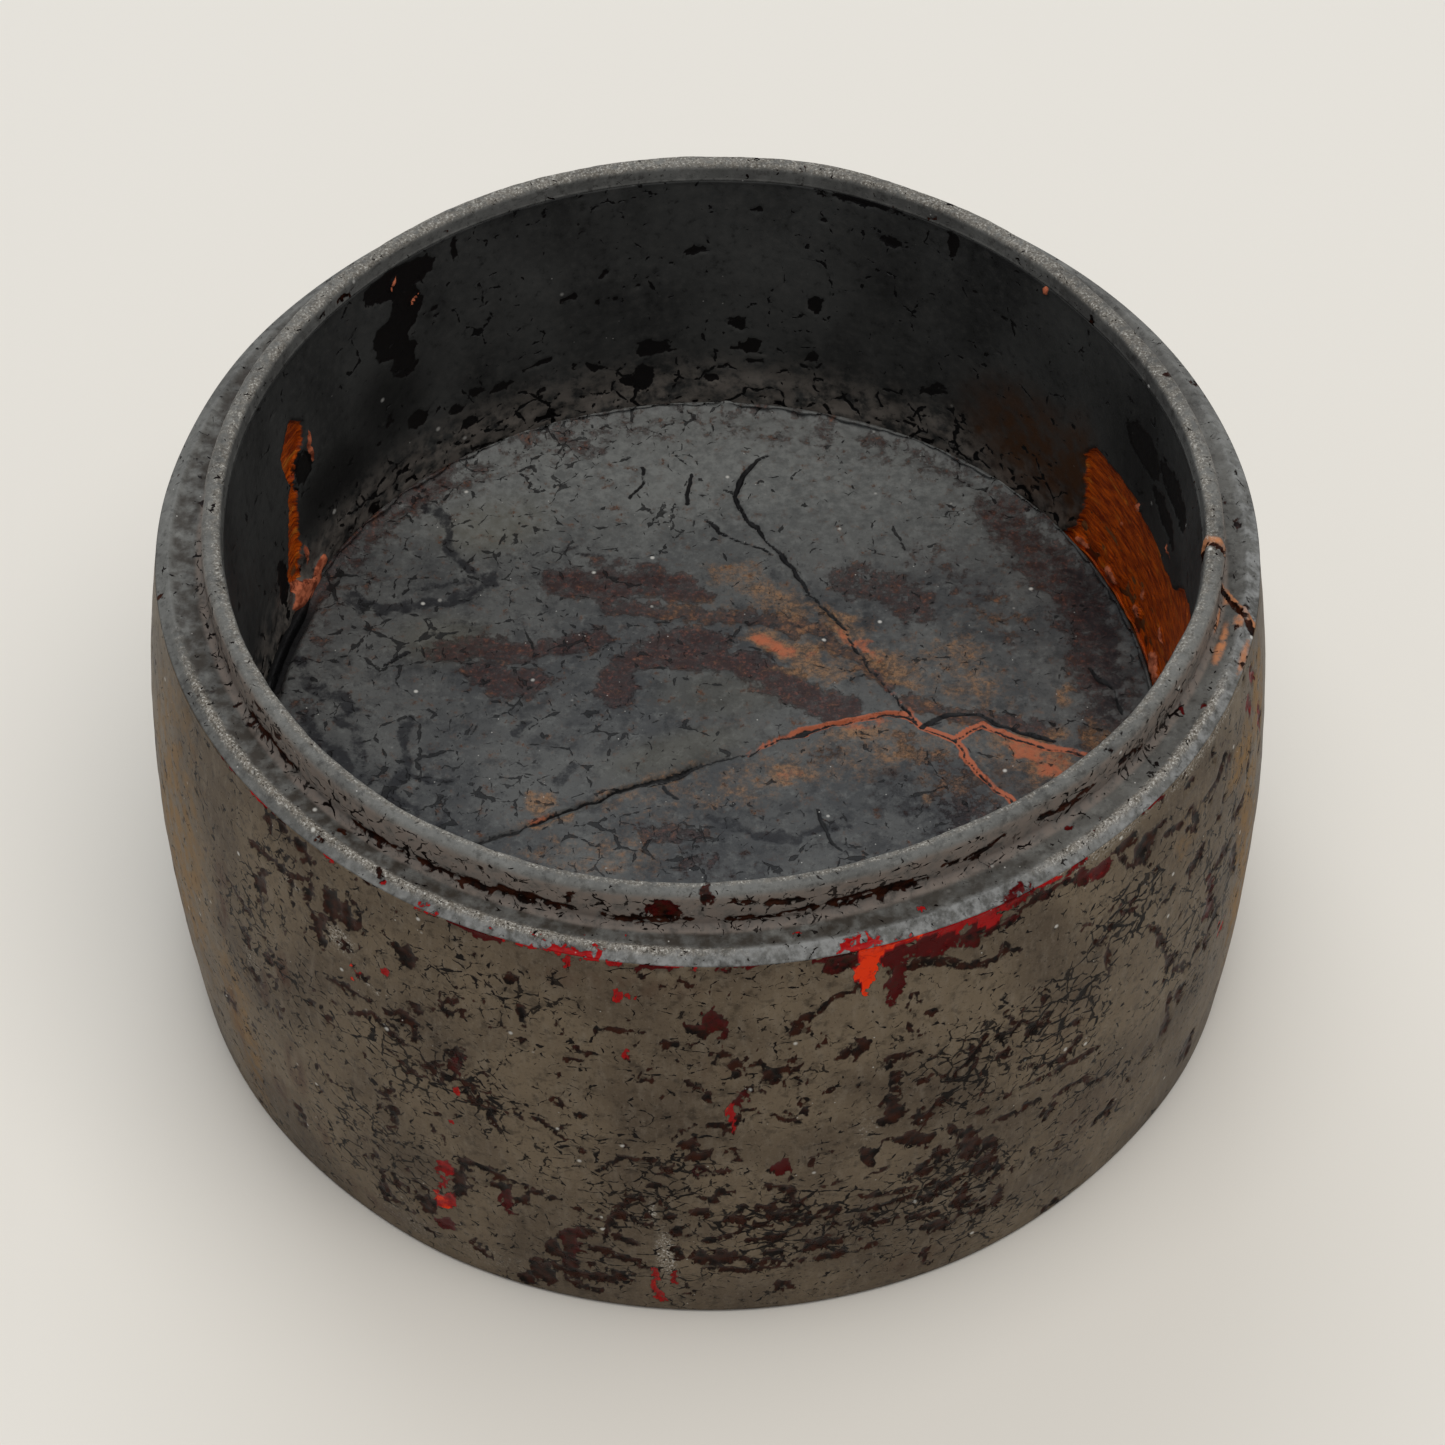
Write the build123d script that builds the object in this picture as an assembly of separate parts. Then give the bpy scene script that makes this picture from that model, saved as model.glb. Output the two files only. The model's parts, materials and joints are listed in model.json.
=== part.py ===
from build123d import *
import math
import os

# A round lacquered bowl for go stones, standing on Z = 0 with its axis on Z. Millimetres.
# A wall of stacked wooden rings is lined by a bent hoop, whose top stands up as the collar for a lid.
# A floor board is held between that liner and a bearer hoop below it. Clay ground, red lacquer and
# black lacquer lie over the wood in that order.

# Outside of the finished bowl
shoulder_radius = 70.0          # sharp outer edge where the wall meets the shoulder
body_height = 70.0              # table to that edge
belly_bulge = 3.2               # widest part of the wall, out past the shoulder edge
belly_height = 35.0             # table to the widest part
foot_flare = 1.5                # wall at the table, out past the shoulder edge

# Shoulder and collar
shoulder_bevel_width = 1.6      # worn bevel between the wall and the lid seat
shoulder_bevel_rise = 1.2
lid_seat_width = 3.9            # flat ring, from the bevel in to the collar's face
collar_height = 5.6             # lid seat to the collar's top
collar_thickness = 2.6          # finished, at its top
collar_top_round = 0.9
collar_foot_cove = 0.6
liner_shoulder = 0.7            # liner below the seat, out past the collar's finished face

# Inside
inner_taper = 2.4               # how far the lining closes in from the collar's top to the floor
inner_depth = 35.3              # shoulder edge down to the floor
floor_cove = 2.5                # fillet of clay ground round the floor

# Wooden core
wall_ring_count = 5
floor_board_thickness = 11.0
bearer_thickness = 3.9          # bearer hoop below the floor board, in from the rings

# Coats, counted in from the finished surface
black_lacquer_thickness = 0.3
red_lacquer_thickness = 0.25
clay_ground_thickness = 0.5
coat_worn_height = 0.5          # coats stop this far above the table, where the foot is worn bare

past_the_cut = 10.0             # drawn past the axis and the table, then trimmed off

# Places that follow from the sizes
belly_radius = shoulder_radius + belly_bulge
foot_radius = shoulder_radius + foot_flare
lid_seat_height = body_height + shoulder_bevel_rise
bevel_radius = shoulder_radius - shoulder_bevel_width
collar_radius = bevel_radius - lid_seat_width
collar_top = lid_seat_height + collar_height
mouth_radius = collar_radius - collar_thickness
floor_height = body_height - inner_depth
floor_radius = mouth_radius - inner_taper
red_depth = black_lacquer_thickness
clay_depth = red_depth + red_lacquer_thickness
wood_depth = clay_depth + clay_ground_thickness
board_top = floor_height - wood_depth
board_bottom = board_top - floor_board_thickness
recess_height = board_bottom - black_lacquer_thickness
ring_inner_radius = collar_radius + liner_shoulder
bearer_inner_radius = ring_inner_radius - bearer_thickness
recess_radius = bearer_inner_radius - black_lacquer_thickness
collar_middle_radius = collar_radius - collar_thickness / 2
outer_reach = belly_radius + past_the_cut
top_reach = collar_top + past_the_cut
ring_height = lid_seat_height / wall_ring_count
bevel_angle = math.atan2(shoulder_bevel_rise, shoulder_bevel_width)


def window(inner, outer, low, high):
    """Rectangle of the half section, from radius inner to outer and from height low to high."""
    return Pos((inner + outer) / 2, (low + high) / 2) * Rectangle(outer - inner, high - low)


def round_corner(section, radius, height, size):
    """Round the section's corner nearest to the given radius and height."""
    corner = section.vertices().sort_by_distance((radius, height, 0))[0]
    return fillet(corner, size)


def section_at(depth):
    """Half section of what lies inside the surface this far below the finished one.

    It runs past the axis and below the table. At a corner between two faces the surface moves back
    along each of them by the depth times the tangent of half the turn.
    """
    seat_setback = depth * math.tan(bevel_angle / 2)
    edge_setback = depth * math.tan((math.pi / 2 - bevel_angle) / 2)
    floor_z = floor_height - depth
    seat_z = lid_seat_height - depth
    top_z = collar_top - depth
    recess_z = recess_height + depth
    floor_r = floor_radius + depth
    mouth_r = mouth_radius + depth
    collar_r = collar_radius - depth
    foot_r = foot_radius - depth
    recess_r = recess_radius + depth
    bevel_corner = (bevel_radius - seat_setback, seat_z)
    shoulder_edge = (shoulder_radius - depth, body_height - edge_setback)
    belly = (belly_radius - depth, belly_height)
    section = make_face([
        Line((-past_the_cut, floor_z), (floor_r, floor_z)),
        Line((floor_r, floor_z), (mouth_r, top_z)),
        Line((mouth_r, top_z), (collar_r, top_z)),
        Line((collar_r, top_z), (collar_r, seat_z)),
        Line((collar_r, seat_z), bevel_corner),
        Line(bevel_corner, shoulder_edge),
        ThreePointArc(shoulder_edge, belly, (foot_r, 0)),
        Line((foot_r, 0), (foot_r, -past_the_cut)),
        Line((foot_r, -past_the_cut), (recess_r, -past_the_cut)),
        Line((recess_r, -past_the_cut), (recess_r, recess_z)),
        Line((recess_r, recess_z), (-past_the_cut, recess_z)),
        Line((-past_the_cut, recess_z), (-past_the_cut, floor_z)),
    ])
    section = round_corner(section, floor_r, floor_z, floor_cove + depth)
    section = round_corner(section, collar_r, seat_z, collar_foot_cove + depth)
    if depth < collar_top_round:
        section = round_corner(section, mouth_r, top_z, collar_top_round - depth)
        section = round_corner(section, collar_r, top_z, collar_top_round - depth)
    return section


def turned(section):
    """Turn a half section, drawn as radius and height, about the bowl's axis."""
    return revolve(Rot(90, 0, 0) * section, Axis.Z, 360)


def write(shape, node):
    export_step(shape, f"parts/{node}.step")


os.makedirs("parts", exist_ok=True)

# Half sections of the bowl inside each surface
finished = section_at(0)
under_black = section_at(red_depth)
under_red = section_at(clay_depth)
under_clay = section_at(wood_depth)

# Zones of the half section
board_middle = board_bottom + floor_board_thickness / 2
cove_top = floor_height + floor_cove
above_table = window(0, outer_reach, 0, top_reach)
collar_zone = window(0, outer_reach, lid_seat_height, top_reach)
underside_zone = window(0, ring_inner_radius, 0, board_middle)
coat_zones = {
    "outer": window(collar_middle_radius, outer_reach, coat_worn_height, top_reach) - underside_zone,
    "inner": window(0, collar_middle_radius, cove_top, top_reach),
    "floor": window(0, collar_middle_radius, board_middle, cove_top),
}
underside_coat_zone = window(0, ring_inner_radius, coat_worn_height, board_middle)

# The collar has no clay on it, and the underside has only black lacquer.
wood = (under_clay + (under_red & collar_zone) + (under_black & underside_zone)) & above_table
clay = under_red - under_clay - collar_zone - underside_zone
red = under_black - under_red - underside_zone
black = finished - under_black

# Wooden core
wall = wood & window(ring_inner_radius, outer_reach, 0, top_reach)
core = wood & window(0, ring_inner_radius, 0, top_reach)

for number in range(wall_ring_count):
    low = number * ring_height
    layer = window(0, outer_reach, low, low + ring_height)
    write(turned(wall & layer), f"wall_ring_{number + 1}")

write(turned(core & window(0, outer_reach, board_top, top_reach)), "liner_hoop")
write(turned(core & window(0, outer_reach, board_bottom, board_top)), "floor_board")
write(turned(core & window(0, outer_reach, 0, board_bottom)), "bearer_hoop")

# Coats
for place, zone in coat_zones.items():
    write(turned(clay & zone), f"{place}_clay_ground")
    write(turned(red & zone), f"{place}_red_lacquer")
    write(turned(black & zone), f"{place}_black_lacquer")

write(turned(black & underside_coat_zone), "underside_black_lacquer")
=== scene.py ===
import json
import math
import bmesh
import bpy
import numpy as np
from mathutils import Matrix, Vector


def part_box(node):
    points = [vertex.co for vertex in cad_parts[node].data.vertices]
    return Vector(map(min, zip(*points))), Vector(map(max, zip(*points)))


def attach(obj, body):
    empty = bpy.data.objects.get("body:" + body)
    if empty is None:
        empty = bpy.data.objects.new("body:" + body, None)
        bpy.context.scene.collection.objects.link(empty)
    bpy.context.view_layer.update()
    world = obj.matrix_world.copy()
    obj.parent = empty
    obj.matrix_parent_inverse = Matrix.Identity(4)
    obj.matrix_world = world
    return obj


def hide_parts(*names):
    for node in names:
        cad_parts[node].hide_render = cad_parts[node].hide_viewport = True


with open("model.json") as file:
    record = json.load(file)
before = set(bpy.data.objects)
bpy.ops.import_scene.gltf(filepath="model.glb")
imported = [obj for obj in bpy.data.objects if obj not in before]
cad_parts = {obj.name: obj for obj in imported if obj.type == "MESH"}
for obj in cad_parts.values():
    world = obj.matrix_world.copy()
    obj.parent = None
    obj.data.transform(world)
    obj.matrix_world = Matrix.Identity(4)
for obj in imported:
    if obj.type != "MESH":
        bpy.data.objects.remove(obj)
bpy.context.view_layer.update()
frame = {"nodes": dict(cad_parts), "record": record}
print("frame loaded:", len(frame["nodes"]), "nodes")

mm = 0.001
unrollRadius = 70.0        # mm; a distance round each surface is its angle times one of these
wallRound = 71.5
collarRound = 66.0
liningRound = 60.0
ringCount = 5


def boxInMm(node):
    return np.array(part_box(node)) / mm


outerCoatBox = boxInMm("outer_black_lacquer")
floorCoatBox = boxInMm("floor_black_lacquer")
clayBox = boxInMm("outer_clay_ground")
boardBox = boxInMm("floor_board")
undersideBox = boxInMm("underside_black_lacquer")
collarMount = next(m for m in frame["record"]["mounts"] if m["name"] == "lid_collar")

# the finished bowl, in millimetres
bowl = {
    "bellyRadius": outerCoatBox[1][0],
    "bellyHeight": 35.0,
    "shoulderRadius": outerCoatBox[1][0] - 3.2,
    "shoulderHeight": clayBox[1][2] - 1.2,
    "footRadius": outerCoatBox[1][0] - 1.7,
    "coatFoot": outerCoatBox[0][2],
    "bevelRadius": outerCoatBox[1][0] - 4.8,
    "seatHeight": clayBox[1][2],
    "collarRadius": collarMount["dims"]["r_mm"],
    "collarTop": outerCoatBox[1][2],
    "mouthRadius": collarMount["dims"]["r_mm"] - 2.6,
    "floorHeight": floorCoatBox[0][2] + 0.3,
    "floorRadius": collarMount["dims"]["r_mm"] - 5.0,
    "coatDepth": 1.05,
}


# numbers on whole arrays

def latticeRandom(cell, seed):
    # one repeatable number from 0 to 1 for each whole-number lattice point
    c = cell.astype(np.int64).astype(np.uint32)
    h = c[..., 0] * np.uint32(374761393) + c[..., 1] * np.uint32(668265263)
    h = h + c[..., 2] * np.uint32(2246822519) + np.uint32((seed * 326648991 + 77) % 4294967296)
    h = (h ^ (h >> np.uint32(13))) * np.uint32(1274126177)
    h = (h ^ (h >> np.uint32(15))) * np.uint32(2654435761)
    return (h ^ (h >> np.uint32(16))) / 4294967296.0


def smoothNoise(points, size, seed):
    # value noise from -1 to 1: the eight lattice values round a point, blended with a smooth fade
    p = points / size
    base = np.floor(p)
    f = p - base
    f = f * f * f * (f * (f * 6 - 15) + 10)
    total = np.zeros(p.shape[:-1])
    for dx in (0, 1):
        for dy in (0, 1):
            for dz in (0, 1):
                weight = np.abs(1 - dx - f[..., 0]) * np.abs(1 - dy - f[..., 1]) * np.abs(1 - dz - f[..., 2])
                total += weight * latticeRandom(base + np.array([dx, dy, dz]), seed)
    return total * 2 - 1


def fractalNoise(points, size, seed, octaves=3):
    # smooth noise summed over octaves, each half the size and half the strength of the one before
    total, strength, norm = 0.0, 1.0, 0.0
    for octave in range(octaves):
        total = total + strength * smoothNoise(points, size / 2 ** octave, seed + octave)
        norm += strength
        strength *= 0.5
    return total / norm * 1.6


def flakeCells(points, size, seed):
    # cellular pattern: distance to the nearest cell edge, in mm, and one random number for each cell
    p = points / size
    base = np.floor(p)
    first = np.full(p.shape[:-1], 9.0)
    second = np.full(p.shape[:-1], 9.0)
    value = np.zeros(p.shape[:-1])
    for dx in (-1, 0, 1):
        for dy in (-1, 0, 1):
            for dz in (-1, 0, 1):
                cell = base + np.array([dx, dy, dz])
                site = cell + np.stack([latticeRandom(cell, seed + k) for k in (1, 2, 3)], axis=-1)
                d = np.sqrt(((p - site) ** 2).sum(axis=-1))
                nearer = d < first
                second = np.where(nearer, first, np.minimum(second, d))
                value = np.where(nearer, latticeRandom(cell, seed + 4), value)
                first = np.where(nearer, d, first)
    return (second - first) * size / 2, value


def ramp(x, low, high):
    # smooth step from 0 at low to 1 at high
    t = np.clip((x - low) / (high - low), 0, 1)
    return t * t * (3 - 2 * t)


def pathDistance(x, y, path):
    # distance in mm to a line through the points, and how far along it the nearest point is, 0 to 1
    pts = np.array(path, float)
    best = np.full(x.shape, 1e9)
    along = np.zeros(x.shape)
    lengths = np.hypot(*(pts[1:] - pts[:-1]).T)
    start = np.concatenate([[0], np.cumsum(lengths)])
    for i, length in enumerate(lengths):
        d = (pts[i + 1] - pts[i]) / length
        t = np.clip((x - pts[i][0]) * d[0] + (y - pts[i][1]) * d[1], 0, length)
        dist = np.hypot(x - pts[i][0] - t * d[0], y - pts[i][1] - t * d[1])
        nearer = dist < best
        best = np.where(nearer, dist, best)
        along = np.where(nearer, (start[i] + t) / start[-1], along)
    return best, along


# the bowl's hand-made shape

handWork = {
    "collarLobes": ((2, 0.25, 177), (3, 0.5, 46), (4, 0.34, 62)),   # waves round the rim, mm, phase
    "wallLobes": ((2, 0.1, 20), (3, 0.08, 80)),
    "collarNoise": 0.3,
    "wallNoise": 0.34,
    "inset": 0.42,            # the wall keeps this far inside the designed size, so the waves fit in it
    "collarInset": 0.25,
    "topSag": 0.35,
}


def handWarp(theta, radius, height):
    # moves a designed point in or out by slow waves round the bowl, more at the collar than at the foot
    around = np.stack([np.cos(theta) * unrollRadius, np.sin(theta) * unrollRadius, height * 0.6], axis=-1)
    atCollar = ramp(height, bowl["shoulderHeight"] - 14, bowl["seatHeight"])
    collar = sum(a * np.cos(k * theta + math.radians(p)) for k, a, p in handWork["collarLobes"])
    wall = sum(a * np.cos(k * theta + math.radians(p)) for k, a, p in handWork["wallLobes"])
    collar = collar + handWork["collarNoise"] * smoothNoise(around, 17.0, 5)
    wall = wall + handWork["wallNoise"] * smoothNoise(around, 26.0, 9)
    inCollar = atCollar * ramp(-radius, -bowl["bevelRadius"], -bowl["collarRadius"])
    shift = wall * (1 - inCollar) + collar * inCollar
    inset = handWork["inset"] * (1 - inCollar) + handWork["collarInset"] * inCollar
    dip = handWork["topSag"] * (0.5 - 0.5 * smoothNoise(around * [1, 1, 0], 30.0, 14))
    lift = -dip * ramp(height, bowl["shoulderHeight"] - 6, bowl["seatHeight"])
    return radius + (shift - inset) * ramp(radius, 20, 60), height + lift


def aroundAngles(count, crowd=0.32):
    # angles round the bowl, closer together at the front (-Y) and starting at the back
    t = np.linspace(0, 2 * np.pi, count + 1)
    return np.pi / 2 + t + crowd * np.sin(t)


def gridMesh(name, rows, angles, closedLoop, lay):
    # rows: profile points (radius, height, skin) carried round the angles; lay: displaces and marks them
    radius, height, skin = (np.array([row[i] for row in rows])[:, None] for i in range(3))
    theta = angles[None, :-1]
    count = theta.shape[1]
    n = len(rows)
    radius, height, skin = (np.broadcast_to(v, (n, count)) for v in (radius, height, skin))
    theta = np.broadcast_to(theta, (n, count))
    profile = np.array([(r, z) for r, z, s in rows])
    before, after = np.roll(profile, 1, 0), np.roll(profile, -1, 0)
    if not closedLoop:
        before[0], after[-1] = profile[0], profile[-1]
    step = after - before
    step /= np.maximum(np.hypot(step[:, 0], step[:, 1]), 1e-6)[:, None]
    normalR, normalZ = step[:, 1][:, None], -step[:, 0][:, None]
    offset, marks = lay(theta, radius, height)
    r = radius + offset * normalR * skin
    z = height + offset * normalZ * skin
    r, z = handWarp(theta, r, z)
    r = np.maximum(r, 0)
    z = np.clip(z, 0, bowl["collarTop"])
    points = np.stack([r * np.cos(theta), r * np.sin(theta), z], axis=-1).reshape(-1, 3)
    arc = np.concatenate([[0], np.cumsum(np.hypot(*(profile[1:] - profile[:-1]).T))])
    rowCount = n if closedLoop else n - 1
    i, j = np.meshgrid(np.arange(rowCount), np.arange(count), indexing="ij")
    i2, j2 = (i + 1) % n, (j + 1) % count
    quads = np.stack([i * count + j, i * count + j2, i2 * count + j2, i2 * count + j], axis=-1)
    u0, u1 = angles[:-1][j] * unrollRadius, angles[1:][j] * unrollRadius
    v0 = arc[i]
    v1 = np.where(i2 > i, arc[i2], arc[i] + 1)
    corners = ((u0, v0), (u1, v0), (u1, v1), (u0, v1))
    uv = np.stack([np.stack(corner, -1) for corner in corners], axis=-2)
    quads, uv = quads.reshape(-1, 4), uv.reshape(-1, 4, 2)
    mesh = bpy.data.meshes.new(name)
    mesh.vertices.add(len(points))
    mesh.vertices.foreach_set("co", (points * mm).ravel())
    mesh.loops.add(len(quads) * 4)
    mesh.loops.foreach_set("vertex_index", quads.ravel())
    mesh.polygons.add(len(quads))
    mesh.polygons.foreach_set("loop_start", np.arange(0, len(quads) * 4, 4))
    mesh.polygons.foreach_set("use_smooth", np.ones(len(quads), bool))
    layer = mesh.uv_layers.new(name="unrolled")
    layer.data.foreach_set("uv", (uv * mm).ravel())
    for key, values in marks.items():
        attribute = mesh.attributes.new(key, "FLOAT", "POINT")
        attribute.data.foreach_set("value", np.broadcast_to(values, (n, count)).ravel().astype(np.float32))
    mesh.update(calc_edges=True)
    mesh.validate()
    piece = bpy.data.objects.new(name, mesh)
    bpy.context.scene.collection.objects.link(piece)
    if not closedLoop:
        closePoles(piece)
    return piece


def closePoles(piece):
    # a disc's rows start and end on the axis, where all the points of a row become one
    work = bmesh.new()
    work.from_mesh(piece.data)
    onAxis = [v for v in work.verts if v.co.x ** 2 + v.co.y ** 2 < 1e-14]
    bmesh.ops.remove_doubles(work, verts=onAxis, dist=1e-6)
    work.to_mesh(piece.data)
    work.free()


def line(start, end, count, skin=1.0):
    # evenly spaced profile points from start up to but not including end
    t = np.arange(count) / count
    return [(start[0] + (end[0] - start[0]) * k, start[1] + (end[1] - start[1]) * k, skin) for k in t]


def arc(centre, radius, fromAngle, toAngle, count, skin=1.0):
    # profile points on a circle, angles in degrees from +radius towards +height, last one left out
    angles = np.radians(fromAngle + (toAngle - fromAngle) * np.arange(count) / count)
    return [(centre[0] + radius * math.cos(a), centre[1] + radius * math.sin(a), skin) for a in angles]


def circleThrough(a, b, c):
    # centre and radius of the circle through three profile points
    m = np.array([[2 * p[0], 2 * p[1], 1] for p in (a, b, c)])
    x = np.linalg.solve(m, np.array([p[0] ** 2 + p[1] ** 2 for p in (a, b, c)]))
    return (x[0], x[1]), math.sqrt(x[2] + x[0] ** 2 + x[1] ** 2)


def wallArc(depth, low, high, count, skin=1.0):
    # the wall's bulging outline at a depth below the finished surface, from height low to high
    a = (bowl["footRadius"] - depth, 0)
    b = (bowl["bellyRadius"] - depth, bowl["bellyHeight"])
    c = (bowl["shoulderRadius"] - depth, bowl["shoulderHeight"])
    centre, radius = circleThrough(a, b, c)
    heights = low + (high - low) * np.arange(count) / count
    return [(centre[0] + math.sqrt(radius ** 2 - (h - centre[1]) ** 2), h, skin) for h in heights]


def innerRadiusAt(height):
    # the lining's cone, from the mouth in to the floor
    share = (bowl["collarTop"] - height) / (bowl["collarTop"] - bowl["floorHeight"])
    return bowl["mouthRadius"] + (bowl["floorRadius"] - bowl["mouthRadius"]) * share


def pointsOf(theta, radius, height):
    return np.stack([radius * np.cos(theta), radius * np.sin(theta), height], axis=-1)


def arcOffset(theta, azimuth):
    # signed angle from an azimuth in degrees, in radians, between -pi and pi
    return (theta - math.radians(azimuth) + np.pi) % (2 * np.pi) - np.pi


def ovalField(x, y, ovals):
    # how far inside the nearest of a set of ovals each point lies, in mm, less than 0 outside,
    # and that oval's redness
    inside = np.full(x.shape, -9.0)
    red = np.zeros(x.shape)
    for cx, cy, halfWidth, halfHeight, turn, redness in ovals:
        c, s = math.cos(math.radians(turn)), math.sin(math.radians(turn))
        u, v = (x - cx) * c + (y - cy) * s, (y - cy) * c - (x - cx) * s
        d = (1 - np.hypot(u / halfWidth, v / halfHeight)) * min(halfWidth, halfHeight)
        red = np.where(d > inside, redness, red)
        inside = np.maximum(inside, d)
    return inside, red


def softField(x, y, ovals):
    # strongest of a set of soft ovals: each one's strength at its middle, fading out just past its rim
    field = np.zeros(x.shape)
    for cx, cy, halfWidth, halfHeight, turn, strength in ovals:
        c, s = math.cos(math.radians(turn)), math.sin(math.radians(turn))
        u, v = (x - cx) * c + (y - cy) * s, (y - cy) * c - (x - cx) * s
        field = np.maximum(field, strength * (1 - ramp(np.hypot(u / halfWidth, v / halfHeight), 0.3, 1.3)))
    return field


def strokeField(x, y, strokes, across=1.0):
    # the same for lines: points, half width, redness; across turns the points' first number into mm
    inside = np.full(x.shape, -9.0)
    red = np.zeros(x.shape)
    for path, halfWidth, redness in strokes:
        distance, along = pathDistance(x, y, [(p * across, q) for p, q in path])
        taper = 0.35 + 0.65 * np.sqrt(np.clip(4 * along * (1 - along), 0, 1))
        d = halfWidth * taper - distance
        red = np.where(d > inside, redness, red)
        inside = np.maximum(inside, d)
    return inside, red


def aroundMm(theta, radius=wallRound):
    # distance round the wall in mm from the +X side, from -180 to 180 degrees
    return arcOffset(theta, 0) * radius


def degreesRow(rows, radius=wallRound):
    # the first number of each row, given as an azimuth in degrees, turned into mm round the wall
    return [(math.radians(row[0]) * radius, *row[1:]) for row in rows]


# outer wall

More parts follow.
